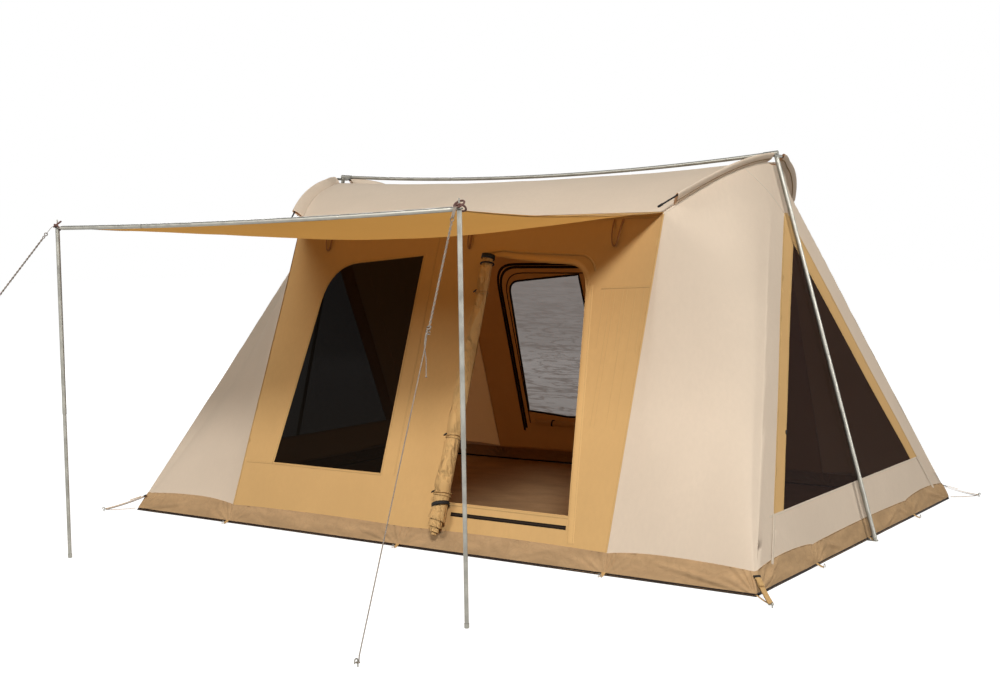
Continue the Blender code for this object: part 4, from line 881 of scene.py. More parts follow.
def main_cloth():
    """The roof, the corners and the gable tops."""
    depths = between(-EAVE_HALF_D, EAVE_HALF_D, 100)
    rows = [[roof_at(share, y) for share in between(-1, 1, 110)] for y in depths]
    as_sheet(lay("roof_cloth", rows, CREAM, instead_of=["roof_canopy"]))
    for side, word in SIDES:
        for facing, end in ENDS:
            flip = (side, -facing)
            rows = []
            for k in between(0, 1, 60):
                last = find_across(mix(WALL_FOOT / wall(1, 1).z, 1, k), flip, side_seam)
                across = between(1.0, last, 48)
                rows.append([wall_at(a, mix(WALL_FOOT / wall(a, 1).z, 1, k), flip) for a in across])
            name = f"{end}_{word}"
            as_sheet(lay(f"corner_cloth_{name}", rows, CREAM, instead_of=[f"corner_{name}"]))
        rows = []
        for v in between(GABLE_APEX_HEIGHT / RIDGE_HEIGHT, 1, 24):
            row = []
            for share in between(-1, 1, 48):
                flip = (side, 1 if share < 0 else -1)
                a = find_across(v, flip, lambda z: abs(share) * side_seam(max(z, GABLE_APEX_HEIGHT)))
                spot = wall_at(a, v, flip)
                cut = hub_notch(spot.y) * ease(ramp(v, 0.93, 1.0)) * CROWN_CUT / RIDGE_HEIGHT
                row.append(wall_at(a, v - cut, flip))
            rows.append(row)
        as_sheet(lay(f"gable_crown_{word}", rows, CREAM, instead_of=[f"gable_top_{word}"]))


def wall_outline(end):
    """The tan panel's four corners, for the front (1) or the back (-1)."""

    def corner(side, z):
        return (side * mix(PANEL_HALF_WIDTH, EAVE_HALF_W - TUCKS[side, end], z / EAVE_HEIGHT), z)

    return [corner(-1, WALL_FOOT), corner(1, WALL_FOOT), corner(1, EAVE_HEIGHT), corner(-1, EAVE_HEIGHT)]


def pane_folds(x, height):
    """The loose pane of the back window: creases across it, deeper towards its foot."""
    low = 1 - ramp(height, BACK_WINDOW_SILL, BACK_WINDOW_TOP)
    bend = 0.05 * rough(x * 2.5, height * 1.5, 3.0) + 0.10 * low * (x - BACK_WINDOW_INNER) ** 2
    wave = rough(x * 1.2, (height + bend) * 17.0, 1.0)
    crease = 1 - min(1.0, abs(wave) * 5)
    return -0.0008 + (0.0035 * crease + 0.002 * wave) * low


def seam_spots(z):
    """The two ends of a gable panel at a height, on its seams."""
    return (-gable_seam(z), z), (gable_seam(z), z)


def flat_cloth():
    """The tan panels with their openings, and the netting in them."""
    window = mirrored(opening_outline(WINDOW_INNER, WINDOW_SILL, 0.0, WINDOW_CORNER))
    openings = [window, opening_outline(DOOR_INNER, DOOR_SILL)]
    as_sheet(FRONT.cloth("front_cloth", wall_outline(1), openings, TAN, 0.022, instead_of=["front_wall"]))
    FRONT.cloth("front_netting", window, [], DARK_SCREEN, 0.05, instead_of=["front_window_mesh"])
    edge = mirrored(wall_outline(-1))
    as_sheet(BACK.cloth("back_cloth", edge, [back_outline()], TAN, instead_of=["back_wall"]))
    flap = {"body": "back_door_flap", "instead_of": ["back_door"]}
    as_sheet(BACK.cloth("back_door_cloth", back_outline(), [back_window_outline()], TAN, **flap))
    flap["instead_of"] = ["back_door_mesh"]
    BACK.cloth("back_netting", back_window_outline(-0.005), [], PALE_SCREEN, 0.012, pane_folds, **flap)
    low, sill, apex = (seam_spots(z) for z in (WALL_FOOT, GABLE_MESH_SILL, GABLE_APEX_HEIGHT))
    hole = [(-GABLE_MESH_HALF, GABLE_MESH_SILL), (GABLE_MESH_HALF, GABLE_MESH_SILL), (0, GABLE_MESH_APEX)]
    around = [sill[0], hole[0], hole[2], hole[1], sill[1], apex[1], apex[0]]
    foot = [low[0], low[1], sill[1], sill[0]]
    for side, word in SIDES:
        panel = GABLES[side]
        node = [f"gable_{word}"]
        as_sheet(panel.cloth(f"gable_cloth_{word}", around, [], TAN, instead_of=node))
        as_sheet(panel.cloth(f"gable_foot_{word}", foot, [], CREAM, instead_of=node))
        panel.cloth(f"gable_netting_{word}", hole, [], SIDE_SCREEN, 0.05, instead_of=[f"gable_mesh_{word}"])


def awning_cloth():
    rows = [[awning_at(share, reach) for share in between(-1, 1, 80)] for reach in between(0, 1, 60)]
    piece = lay("awning_cloth", rows, AWNING_CLOTH, "awning", ["awning_sheet"])
    as_sheet(piece)


class Strips:
    """Narrow sewn strips, gathered into one piece. UVs are metres along and across each strip."""

    PROFILE = ((-0.5, 0.0), (-0.42, 1.0), (0.42, 1.0), (0.5, 0.0))
    LIFT = 0.0004

    def __init__(self):
        self.points, self.faces, self.uvs = [], [], []

    def add(self, path, width, rise=0.0009):
        """Lays a strip along a path of (point, outward) pairs."""
        first, count, along = len(self.points), len(path), 0.0
        for i, (p, outward) in enumerate(path):
            before = path[max(0, i - 1)][0]
            after = path[min(count - 1, i + 1)][0]
            across = (after - before).cross(outward).normalized()
            along += (p - before).length
            for share, up in self.PROFILE:
                self.points.append(p + across * share * width + outward * (up * rise + self.LIFT))
                self.uvs.append((along, share * width))
        self.faces += [tuple(first + k for k in face) for face in quads(count, len(self.PROFILE))]

    def piece(self, name, finish, **options):
        return add_object(name, mesh_from(name, self.points, self.faces, self.uvs), finish, **options)


# The groundsheet

BAND_LIFT = 0.0016
BAND_FOOT = 0.013
BAND_SHARES = (0.0, 0.05, 0.11, 0.19, 0.27, 0.36, 0.45, 0.54, 0.63, 0.72, 0.81, 0.90, 0.97, 1.0, 1.0)
FRONT_PEGS = (-HALF_W, -1.286, 0.01, 1.30, HALF_W)
SIDE_PEGS = (-HALF_D, -0.73, 0.73, HALF_D)
PLEAT_LINES = (-1.18, -0.86, -0.52, -0.16, 0.18, 0.50, 0.88, 1.20)
BAND_FOLDS = {
    "front": (
        ((1.56, 0.088), (2.04, 0.020), 0.0075),
        ((1.74, 0.062), (1.98, 0.016), 0.0050),
        ((-2.04, 0.016), (-1.70, 0.078), 0.0070),
        ((-1.98, 0.012), (-1.80, 0.050), 0.0045),
        ((-0.30, 0.070), (-0.04, 0.020), 0.0050),
        ((0.75, 0.030), (0.98, 0.085), 0.0035),
    ),
    "right": (
        ((-1.36, 0.016), (-1.19, 0.105), 0.0110),
        ((-0.55, 0.080), (-0.36, 0.020), 0.0045),
        ((0.30, 0.020), (0.52, 0.080), 0.0050),
        ((1.10, 0.095), (1.34, 0.020), 0.0060),
    ),
    "left": (((-1.34, 0.020), (-1.10, 0.090), 0.0060), ((0.28, 0.070), (0.50, 0.020), 0.0045)),
    "back": (
        ((1.60, 0.080), (2.02, 0.020), 0.0060),
        ((-0.80, 0.070), (-0.50, 0.020), 0.0050),
        ((-2.02, 0.020), (-1.66, 0.075), 0.0060),
    ),
}


def quarter_way(steps):
    """The way once round the tent from the middle of its front, as (a, quarter)."""
    way = []
    for flip, start, end in (((1, 1), 0, 4), ((1, -1), 4, 0), ((-1, -1), 0, 4), ((-1, 1), 4, 0)):
        way += [(a, flip) for a in between(start, end, steps)[:-1]]
    return way


def band_shape(at, pegs):
    """The rise of the band's upper edge over a point of its foot, and the nearest peg's distance."""
    rise, off = 0.0, 1.0
    for low, high in zip(pegs, pegs[1:]):
        if low <= at <= high:
            t = (at - low) / (high - low)
            height = 0.022 if high - low < 1.0 else 0.009
            rise = height * (4 * t * (1 - t)) ** 0.8
            off = at - low if t < 0.5 else at - high
    return rise, off


def pleats(off, z, phase):
    """Creases that run out from a peg at the band's foot, like the ribs of a fan."""
    distance = hypot(off, z)
    angle = atan2(off, z + 0.004)
    reach = ramp(distance, 0.008, 0.045) * (1 - ramp(distance, 0.11, 0.21))
    lift = 0.0028 * reach
    for i, line in enumerate(PLEAT_LINES):
        line += 0.07 * sin(phase * 5.1 + i * 2.3)
        lift -= 0.0105 * reach * exp(-(((angle - line) / 0.070) ** 2))
    return lift


def long_folds(facing, along, z):
    """The few long soft folds between the pegs."""
    lift = 0.0
    for start, end, height in BAND_FOLDS[facing]:
        run = Vector((end[0] - start[0], end[1] - start[1]))
        spot = Vector((along - start[0], z - start[1]))
        t = spot.dot(run) / run.length_squared
        if -0.1 < t < 1.1:
            side = (spot.x * run.y - spot.y * run.x) / run.length
            shape = exp(-((side / 0.010) ** 2)) - 0.7 * exp(-(((side - 0.012) / 0.008) ** 2))
            lift += 1.6 * height * shape * sin(pi * ramp(t, -0.1, 1.1))
    return lift


def tray_band():
    """The groundsheet's band: arched between its pegs and gathered towards each of them."""
    rows, seam = [], []
    for i, share in enumerate(BAND_SHARES):
        row = []
        for a, flip in quarter_way(640):
            x, y, _ = flipped(wall(a, 0, flip), *flip)
            if abs(abs(y) - HALF_D) < 1e-4:
                facing, along, pegs = "back" if y > 0 else "front", x, FRONT_PEGS
            else:
                facing, along, pegs = "right" if x > 0 else "left", y, SIDE_PEGS
            rise, off = band_shape(along, pegs)
            z = BAND_FOOT + (BAND_HEIGHT + 0.004 - BAND_FOOT + rise) * share
            pleat = pleats(off, z, along - off) + long_folds(facing, along, z)
            slant = rough(x * 6 + z * 16, y * 6 + z * 16, z * 9)
            crease = rough(x * 23, y * 23, z * 24)
            gather = rough(x * 46, y * 46, z * 7) * ramp(share, 0.45, 0.95)
            free = sin(pi * min(1.0, share * 1.02))
            lift = BAND_LIFT + pleat + free * (0.0026 + 0.0060 * slant + 0.0034 * crease) + 0.0020 * gather
            fold_in = 0.0034 if i == 14 else 0.0
            point, outward = wall_spot(a, z / wall(a, 1, flip).z, flip, max(lift, 0.0009) - fold_in)
            row.append(point)
            if i == 13:
                seam.append((point - UP * 0.0035, outward))
        rows.append(row + row[:1])
    lay("tray_band", rows, TRAY, instead_of=["groundsheet"])
    hem = Strips()
    hem.add(seam + seam[:1], 0.006, 0.0007)
    hem.piece("band_seam", BAND_TAPE)
    # A near-black strip round the foot of the band: painted contact shadow along the floor.
    edge = []
    for z in (0.0, BAND_FOOT + 0.003):
        row = [wall_at(a, z / wall(a, 1, flip).z, flip, 0.0004) for a, flip in quarter_way(60)]
        edge.append(row + row[:1])
    lay("tray_contact_shade_strip", edge, CONTACT_SHADE)


def tray_floor():
    rows = []
    for y in between(-HALF_D + 0.002, HALF_D - 0.002, 110):
        row = []
        for x in between(-HALF_W + 0.002, HALF_W - 0.002, 160):
            rim = min(1.0, 12 * min(HALF_W - abs(x), HALF_D - abs(y)))
            rise = rough(x * 1.3, y * 7, 0) + 0.5 * rough(x * 5, y * 16, 2)
            row.append(Vector((x, y, 0.004 + rim * max(0.0, 0.0035 * (rise + 0.8)))))
        rows.append(row)
    lay("tray_floor", rows, TRAY)


# Bow sleeves

SLEEVE_SIDES = 20


def sleeve_top(y, quarter):
    drop = SLEEVE_ARCH * y * y
    extra = LEFT_DROP * (y / EAVE_HALF_D) ** 2 if quarter[0] < 0 else 0.0
    x = SLEEVE_TOP[0] - SLEEVE_LEAN * drop - tuck(y, quarter)
    return Vector((x, y, SLEEVE_TOP[1] - drop - extra))


def sleeve_ring(share, side, facing):
    """A closed ring of one sleeve and the spot of its seam strip, whose dark colour is painted shade at the
    sleeve's foot, with the way it faces; share along the bow.
    """
    quarter = (side, -facing)
    low_y = mix(SLEEVE_START, SLEEVE_FOOT_END, share)
    high_y = mix(SLEEVE_START, SLEEVE_TOP_END, share)
    low = roof_edge(low_y, quarter)
    low = low - (sleeve_top(low_y, quarter) - low).normalized() * SLEEVE_OVERLAP
    high = sleeve_top(high_y, quarter)
    centre, across = (low + high) / 2, (high - low) / 2
    tangent = (sleeve_top(high_y + 0.01, quarter) - sleeve_top(high_y - 0.01, quarter)).normalized()
    thick = across.normalized().cross(tangent).normalized()
    outward = thick if thick.x > 0 else -thick
    # Where the dark brown strip runs: a raised seam whose dark colour is painted shade at the sleeve's foot.
    stitch = centre - across * 0.06 + outward * SLEEVE_HALF_THICKNESS * 1.02
    ring = []
    for s in range(SLEEVE_SIDES):
        angle = 2 * pi * s / SLEEVE_SIDES
        reach_long, reach_short = (copysign(abs(t) ** 0.75, t) for t in (cos(angle), sin(angle)))
        pinch = 1.0 - 0.45 * ramp(-reach_long, 0.2, 1.0)
        crease = 1 + 0.10 * rough(share * 40, angle, side + facing * 2)
        swell = thick * SLEEVE_HALF_THICKNESS * reach_short * pinch * crease
        ring.append(flipped(centre + across * reach_long + swell, side, facing))
    return ring + ring[:1], [flipped(p, side, facing) for p in (stitch, outward)]


def sleeves():
    """Flat sewn sleeves round the bow rods, gathered a little along their seam, each with a dark brown seam
    strip whose colour is painted shade at the sleeve's foot.
    """
    for side, word in SIDES:
        for facing, end in ENDS:
            rings, seam = zip(*(sleeve_ring(share, side, facing) for share in between(0, 1, 60)))
            name = f"{end}_{word}"
            lay(f"bow_sleeve_{name}", rings, CREAM, instead_of=[f"sleeve_{name}"])
            line = Strips()
            line.add(seam, 0.007, 0.0012)
            line.piece(f"bow_seam_{name}", BOW_SHADE_TAPE)


# Trims on the cloth

EAVE_SEAM = 1.752
FRONT_SEAMS = (
    ([(-1.245, 0.355), (-0.935, 0.360)], 0.010),
    ([(-0.117, 0.36), (-0.125, 1.70)], 0.010),
    ([(1.006, 1.385), (1.292, 1.395)], 0.012),
)
BESIDE_DOOR = (1.028, 1.071, 1.094, 1.140, 1.163, 1.215, 1.262)
BESIDE_DOOR_TOP = 1.378
JAMB_HEIGHTS = (0.125, 0.6, 1.0, 1.40)
SILL_ZIP = [(0.315, 0.196), (1.035, 0.196)]
HOOD_CREASE = [(0.235, 1.578), (0.34, 1.590), (0.455, 1.578), (0.715, 1.566), (0.830, 1.560)]
ZIP_WIDTH = 0.019


def on_panel(panel, points, face=1, lift=0.0):
    return [(panel.at(x, z, lift * face), panel.outward * face) for x, z in stepped(points)]


def front_trims():
    seams, jamb, dark = Strips(), Strips(), Strips()
    window = mirrored(opening_outline(WINDOW_INNER, WINDOW_SILL, -0.006, WINDOW_CORNER))
    sill = DOOR_SILL - 0.010
    for line, width in (
        (window + window[:1], 0.014),
        ([(DOOR_INNER - 0.02, sill), (door_jamb(sill), sill)], 0.016),
        *FRONT_SEAMS,
    ):
        seams.add(on_panel(FRONT, line), width)
    # Creases beside the door: thin, barely raised strips of the slightly darker seam tape, so each fold line
    # is partly geometry and partly painted shade.
    for i, x in enumerate(BESIDE_DOOR):
        fall = mix(0.30, 0.75, abs(sin(i * 2.1)))
        crease = [(x, BESIDE_DOOR_TOP), (x + 0.006, BESIDE_DOOR_TOP - fall)]
        seams.add(on_panel(FRONT, crease), 0.004, 0.0007)
    for panel, end in ((FRONT, 1.28), (BACK, 1.20)):
        seams.add(on_panel(panel, [(-1.20, EAVE_SEAM), (end, EAVE_SEAM)]), 0.020)
    middle = JAMB_WIDTH / 2 - 0.004
    jamb.add(on_panel(FRONT, [(door_jamb(z) + middle, z) for z in JAMB_HEIGHTS]), JAMB_WIDTH, 0.0016)
    dark.add(on_panel(FRONT, SILL_ZIP), 0.021, 0.0016)
    seams.piece("front_seams", TAN_TAPE)
    jamb.piece("door_jamb_strip", JAMB_TAPE)
    dark.piece("door_sill_zip", ZIP)


def door_hood():
    """The folded strip of cloth over the front door's zip: it stands off along the opening's top."""
    outline = opening_outline(DOOR_INNER, DOOR_SILL)
    edge = stepped([outline[-1]] + outline[-2:1:-1] + [(door_jamb(1.36), 1.36)], 0.02)
    rows = []
    for i, (x, z) in enumerate(edge):
        t = i / (len(edge) - 1)
        before, after = edge[max(0, i - 1)], edge[min(len(edge) - 1, i + 1)]
        run = Vector((after[0] - before[0], after[1] - before[1])).normalized()
        swell = 4 * t * (1 - t)
        row = []
        for share in between(0, 1, 8):
            reach = mix(0.022, -0.016 * swell, share)
            wave = 0.009 * rough(t * 11 + share * 2, share * 1.5, 5.0) * share
            lift = 0.0015 + (0.015 * swell + wave) * ease(share) - 0.006 * ramp(share, 0.85, 1) * swell
            row.append(FRONT.at(x - run.y * reach, z + run.x * reach, max(0.001, lift)))
        rows.append(row)
    as_sheet(lay("door_rain_strip", rows, TAN))
    # The crease over the door is a slightly raised strip in the darker tan: a real fold with painted shade
    # along it.
    seam = Strips()
    bend = [(0.840 + 0.115 * sin(t), 1.447 + 0.113 * cos(t)) for t in between(0.15, 1.35, 8)]
    seam.add(on_panel(FRONT, HOOD_CREASE + bend), 0.013, 0.0040)
    seam.piece("door_hood_fold", HOOD_FOLD_SHADE)


def back_trims():
    """Zips and bindings of the back door and its window, on both faces of the cloth."""
    fixed, moving = Strips(), Strips()
    for face in (1, -1):
        for inset, width, strips in (
            (-0.009, ZIP_WIDTH, fixed),
            (0.011, ZIP_WIDTH, moving),
            (0.052, 0.008, moving),
        ):
            edge = back_outline(inset)
            strips.add(on_panel(BACK, edge[1:] + edge[:1], face), width, 0.0014)
        edge = back_window_outline(-0.004)
        moving.add(on_panel(BACK, edge + edge[:1], face), 0.015, 0.0030)
    fixed.piece("back_door_zip_tape", ZIP)
    moving.piece("back_door_zips", ZIP, body="back_door_flap")


def side_trims():
    seams, cream = Strips(), Strips()
    apex = GABLE_APEX_HEIGHT / RIDGE_HEIGHT
    for side, panel in GABLES.items():
        for end in (-1, 1):
            upper = between(GABLE_MESH_SILL, GABLE_APEX_HEIGHT - 0.02, 30)
            seams.add(on_panel(panel, [(end * (gable_seam(z) - 0.004), z) for z in upper]), 0.012)
            lower = [(end * gable_seam(z), z) for z in between(WALL_FOOT, GABLE_MESH_SILL, 8)]
            cream.add(on_panel(panel, lower, 1, 0.0028), 0.024, 0.0008)
            rake = [(GABLE_MESH_HALF + 0.008, GABLE_MESH_SILL), (0.008, GABLE_MESH_APEX + 0.012)]
            seams.add(on_panel(panel, [(end * x, z) for x, z in rake]), 0.014)
        cream.add(on_panel(panel, [(x, GABLE_MESH_SILL - 0.006) for x in (-1.10, 1.10)]), 0.010, 0.0005)
        for facing in (-1, 1):
            flip = (side, facing)
            seams.add([wall_spot(1.004, v, flip) for v in between(0.06, 0.995, 60)], 0.010)
            rows = between(apex, 0.99, 60)
            cream.add([wall_spot(find_across(v, flip, side_seam), v, flip) for v in rows], 0.009)
            cream.add([wall_spot(a, 0.9955, flip) for a in between(1.0, 3.88, 70)], 0.008)
    seams.piece("tan_panel_seams", TAN_TAPE)
    cream.piece("cream_panel_seams", CREAM_TAPE)


def awning_trims():
    seams = Strips()
    for face in (1, -1):
        lines = [([(share, reach) for reach in between(0.01, 0.995, 50)], 0.020) for share in (-0.985, 0.985)]
        for reach, width in ((0.012, 0.018), (0.984, 0.022)):
            lines.append(([(share, reach) for share in between(-0.99, 0.99, 60)], width))
        for turn in (-1, 1):
            stay = ((turn * 0.97, 0.03), (turn * 0.10, 0.32))
            lines.append(([mix_pair(*stay, k) for k in between(0, 1, 24)], 0.009))
        for line, width in lines:
            seams.add([(awning_at(*spot), UP * face) for spot in line], width)
    seams.piece("awning_seams", TAN_TAPE, body="awning")


# Cords and fittings


def ring_frames(points, closed=False):
    """For each point of a line, two directions square to it that turn as little as possible."""
    count = len(points)
    frames = []
    side = None
    for i in range(count):
        before = points[i - 1] if i or closed else points[0]
        after = points[(i + 1) % count] if i < count - 1 or closed else points[-1]
        ahead = (after - before).normalized()
        if side is None:
            side = ahead.orthogonal().normalized()
        side = (side - ahead * side.dot(ahead)).normalized()
        frames.append((side, ahead.cross(side)))
    return frames


def tube_mesh(name, points, radius, closed=False, sides=8):
    rings = []
    for i, (p, (u, w)) in enumerate(zip(points, ring_frames(points, closed))):
        rings.append(circle(p, u, w, radius(i / (len(points) - 1)) if callable(radius) else radius, sides))
    if closed:
        return grid_mesh(name, [ring + ring[:1] for ring in rings + rings[:1]])
    return closed_loft(name, rings)


def joined(name, meshes):
    """One mesh from several."""
    points, faces = [], []
    for mesh in meshes:
        first = len(points)
        points += [v.co.copy() for v in mesh.vertices]
        faces += [tuple(first + k for k in face.vertices) for face in mesh.polygons]
    whole = mesh_from(name, points, faces)
    whole.set_sharp_from_angle(angle=SHARP_ANGLE)
    return whole


# Rolls, ties and loops

DOOR_FLAP = "door_roll_flap"
DOOR_TIES = (1.505, 1.35, 0.585, 0.29, 0.232)
ROLL_FOLDS = (
    (1.37, 0.90, 0.0, 2.4, 0.010),
    (0.61, 0.30, 0.3, 1.5, 0.009),
    (1.32, 1.02, 0.9, 1.5, 0.006),
    (1.00, 0.55, 1.9, 1.2, 0.008),
    (0.52, 0.24, 1.5, 2.2, 0.007),
    (0.22, 0.12, 0.6, 1.9, 0.006),
)
COVER_TIES = (-0.40, -0.74)
COVER_RADIUS = 0.022
TOGGLE_LENGTH = 0.036
TOGGLE_RADIUS = 0.0062
EAVE_LOOPS = ((-0.950, 0.028), (0.105, 0.014), (1.048, 0.027))
EAVE_LOOP_HEIGHTS = (1.742, 1.602)
SIDE_LOOPS = (-0.73, 0.0, 0.73)
WEB_OFF_BAND = 0.006
WEB_REACH = 0.038
WEB_DROP = 0.010
PEG_WIRE = 0.0018


def roll_radius(z):
    """The door roll's radius: slimmer at the top and pinched at its ties."""
    wide = mix(ROLL_TOP_RADIUS + 0.001, ROLL_FOOT_RADIUS + 0.004, ramp(z, ROLL_TOP, ROLL_FOOT + 0.2))
    wide *= 1 + 0.05 * sin(z * 9.0) + 0.03 * sin(z * 23.0)
    for tie in DOOR_TIES:
        wide *= 1 - 0.13 * exp(-((z - tie) / 0.030) ** 2)
    return wide


def roll_centre(z):
    return FRONT.at(ROLL_X, z, roll_radius(z) + 0.0025)


def roll_spot(z, angle, share):
    """A point of the rolled door. The angle starts along the wall and turns outward."""
    reach = roll_radius(z) * mix(0.16, 1.0, share)
    for top, foot, start, end, height in ROLL_FOLDS:
        t = (top - z) / (top - foot)
        if 0 < t < 1 and share > 0.72:
            past = (angle - mix(start, end, t)) % (2 * pi)
            reach += height * sin(pi * t) ** 0.7 * max(0.0, 1 - past / 0.5)
    reach += 0.0045 * rough(cos(angle) * 1.3, sin(angle) * 1.3, z * 6) * share
    reach = min(reach, roll_radius(z) + 0.011)
    return roll_centre(z) + Vector((cos(angle), 0, 0)) * reach + FRONT.outward * sin(angle) * reach


def rolled(name, spot, turns, start, end, reach, finish, body, node):
    """A cloth rolled about a line from start to end(share). spot(along, angle, share) gives its points."""
    steps = round(turns * 26)
    rows = []
    for k in between(0, 1, 110):
        shares = [j / steps for j in range(steps + 1)]
        rows.append([spot(mix(start, end(s), k), reach + 2 * pi * turns * (s - 1), s) for s in shares])
    piece = lay(name, rows, finish, body, [node])
    arc = length_of(rows[len(rows) // 2])
    area = area_of(piece)
    length = max(length_of([row[-1] for row in rows]), area / arc)


def tie_loop(name, centre, u, w, radius, thick, finish, body, width=None, slot=None):
    """A cord or a flat band round a roll."""
    if width is None:
        turn = circle(centre, u, w, radius, 40)
        return add_object(name, tube_mesh(name, turn, thick, True), finish, body, slot=slot)
    along = u.cross(w).normalized()
    profile = ((0, -0.5), (thick, -0.46), (thick, 0.46), (0, 0.5))
    rows = []
    for t in between(0, 2 * pi, 40):
        way = turned(u, w, t)
        rows.append([centre + way * (radius + up) + along * share * width for up, share in profile])
    return lay(name, rows, finish, body, slot=slot)


def toggle(name, middle, way, body):
    """A small turned peg: thick ends and a waist."""
    u = way.orthogonal().normalized()
    rings = []
    for k in between(0, 1, 12):
        r = TOGGLE_RADIUS * (1 - 0.28 * sin(pi * k)) * sin(pi * min(1, max(0, 0.06 + k * 0.88))) ** 0.35
        rings.append(circle(middle + way * (k - 0.5) * TOGGLE_LENGTH, u, way.cross(u), r, 12))
    add_object(name, closed_loft(name, rings), DARK_PLASTIC, body)


def roll_foot(share):
    """The foot of the rolled door, which slants as its layers wind outward."""
    return ROLL_FOOT + 0.095 * share**1.9


def door_roll():
    """The rolled front door with its ties and toggles, and a dark band of painted shade round its top."""
    reach = radians(206)
    rolled("door_cloth_roll", roll_spot, 4, ROLL_TOP, roll_foot, reach, ROLLED_TAN_SHADED, DOOR_FLAP, "door_roll")
    u, w = Vector((1, 0, 0)), FRONT.outward
    for i, z in enumerate(DOOR_TIES):
        finish = DARK_PLASTIC if i in (0, 4) else WEBBING
        radius = roll_radius(z) + 0.0035
        slope = Vector((1, 0, 0.34 if i == 4 else 0.12)).normalized()
        size = (radius + 0.002, 0.0045 if i == 0 else 0.0024)
        width = 0.020 if i == 4 else None
        tie_loop(f"door_tie_{i}", roll_centre(z), slope, w, *size, finish, DOOR_FLAP, width, "dark_plastic")
        if finish is WEBBING:
            tie_loop(f"door_tie_low_{i}", roll_centre(z - 0.012), u, w, radius, 0.0020, finish, DOOR_FLAP)
            middle = roll_centre(z) + turned(u, w, 2.35).normalized() * (radius + 0.006)
            toggle(f"door_toggle_{i}", middle, (Vector((0.9, 0, 0.25)) + w * 0.5).normalized(), DOOR_FLAP)
    # A dark band round the roll's top: painted shade where the roll is gathered under the rain strip.
    size = (roll_radius(1.54) + 0.0022, 0.0020)
    tie_loop("door_roll_top_shade", roll_centre(ROLL_TOP - 0.012), u, w, *size, DARK_PLASTIC, DOOR_FLAP, 0.026)


def cover_roll():
    """The back window's cover, rolled up and tied under it, inside the back door."""
    low, high = (Vector(corner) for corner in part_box("back_cover_roll"))
    centre = (low + high) / 2
    start, end = low.x + 0.004, high.x - 0.004
    outward, body = BACK.outward, "back_door_flap"

    def spot(x, angle, share):
        pinch = 1 - 0.16 * sum(exp(-((x - at) / 0.03) ** 2) for at in COVER_TIES)
        reach = COVER_RADIUS * pinch * mix(0.2, 0.98, share) + 0.0016 * rough(x * 9, angle, 3.0) * share
        sag = 0.004 * sin(pi * (x - start) / (end - start))
        return Vector((x, centre.y, centre.z - sag)) + UP * cos(angle) * reach - outward * sin(angle) * reach

    def far(share):
        return end - 0.03 * (1 - share)

    rolled("back_window_cover", spot, 3, start, far, radians(150), TAN, body, "back_cover_roll")
    for i, x in enumerate(COVER_TIES):
        middle = Vector((x, centre.y, centre.z - 0.003))
        tie_loop(f"cover_tie_{i}", middle, UP, -outward, COVER_RADIUS * 0.9, 0.0018, ZIP, body, 0.012)


def eave_loops():
    """Narrow loops of webbing that hang under the eave, each drawn to a point, in a darker webbing that
    paints shade on them.
    """
    for i, (x, half) in enumerate(EAVE_LOOPS):
        strips = Strips()
        path = []
        for k in between(-1, 1, 34):
            drop = 1 - abs(k) ** 1.7
            spread = half * copysign(abs(k) ** 0.55, k)
            lift = 0.005 + 0.012 * sin(pi * drop * 0.9)
            place = FRONT.at(x + spread, mix(*EAVE_LOOP_HEIGHTS, drop), lift)
            path.append((place, (FRONT.outward + Vector((copysign(0.5, k), 0, 0))).normalized()))
        strips.add(path, 0.011, 0.0022)
        strips.piece(f"eave_loop_{i}", SHADED_LOOP_WEBBING)


def peg_loops():
    """Short webbing loops at the foot of the band, each held by a small wire peg."""
    front, back = ([(x, facing * HALF_D, 0, facing) for x in FRONT_PEGS[1:-1]] for facing in (-1, 1))
    sides = [(side * HALF_W, y, side, 0) for y in SIDE_LOOPS for side in (-1, 1)]
    webs, wires = Strips(), []
    for x, y, out_x, out_y in front + sides + back:
        out = Vector((out_x, out_y, 0))
        foot = Vector((x + out_x * WEB_OFF_BAND, y + out_y * WEB_OFF_BAND, 0.012))
        across = out.cross(UP)
        path = []
        for k in between(0, 1, 14):
            rise = 0.016 * (1 - k) ** 1.6
            place = foot + out * (WEB_REACH * k) + UP * (rise - WEB_DROP)
            path.append((place, (UP + out * (1 - k) * 1.5).normalized()))
        webs.add(path, 0.022, 0.0016)
        top = foot + out * 0.040 + UP * -0.006
        wire = [top + UP * (0.014 * sin(t)) + across * (0.009 * cos(t)) for t in between(0, pi, 10)]
        wires.append(tube_mesh("wire", [wire[0] - UP * 0.010] + wire + [wire[-1] - UP * 0.006], PEG_WIRE))
    webs.piece("peg_loop_webbing", WEBBING)
    add_object("peg_loop_wires", joined("peg_loop_wires", wires), GALVANISED)


# Guy ropes

PEG_TURN = 0.0074
TWIST_LENGTH = 0.040
TWIST_RADIUS = 0.0027
BRAID_RADIUS = 0.0024
TAIL_LENGTH = 0.175
TAIL_KNOT_LENGTH = 0.008
HITCH_TURNS = ((-0.020, 0.0), (-0.006, 2.1), (0.008, 4.2))
HITCH_HALF_WIDTH = 0.0105
HITCH_HALF_DEPTH = 0.0058
HITCH_RISE = 0.014
HITCH_CORD = 0.0021


def guy_place(side):
    """The spike's top point, the peg on the ground and the level direction from pole to peg."""
    x = AWNING_SHIFT + side * (BAR_HALF - 0.014)
    shoulder = bar_height(x) - LUG_THICKNESS / 2 - LUG_REST_GAP
    peg = GUY_PEGS[side]
    top = Vector((x, BAR_Y, shoulder + LUG_THICKNESS + 2 * LUG_REST_GAP + 0.004))
    return top, peg, Vector((peg.x - x, peg.y - BAR_Y, 0)).normalized()


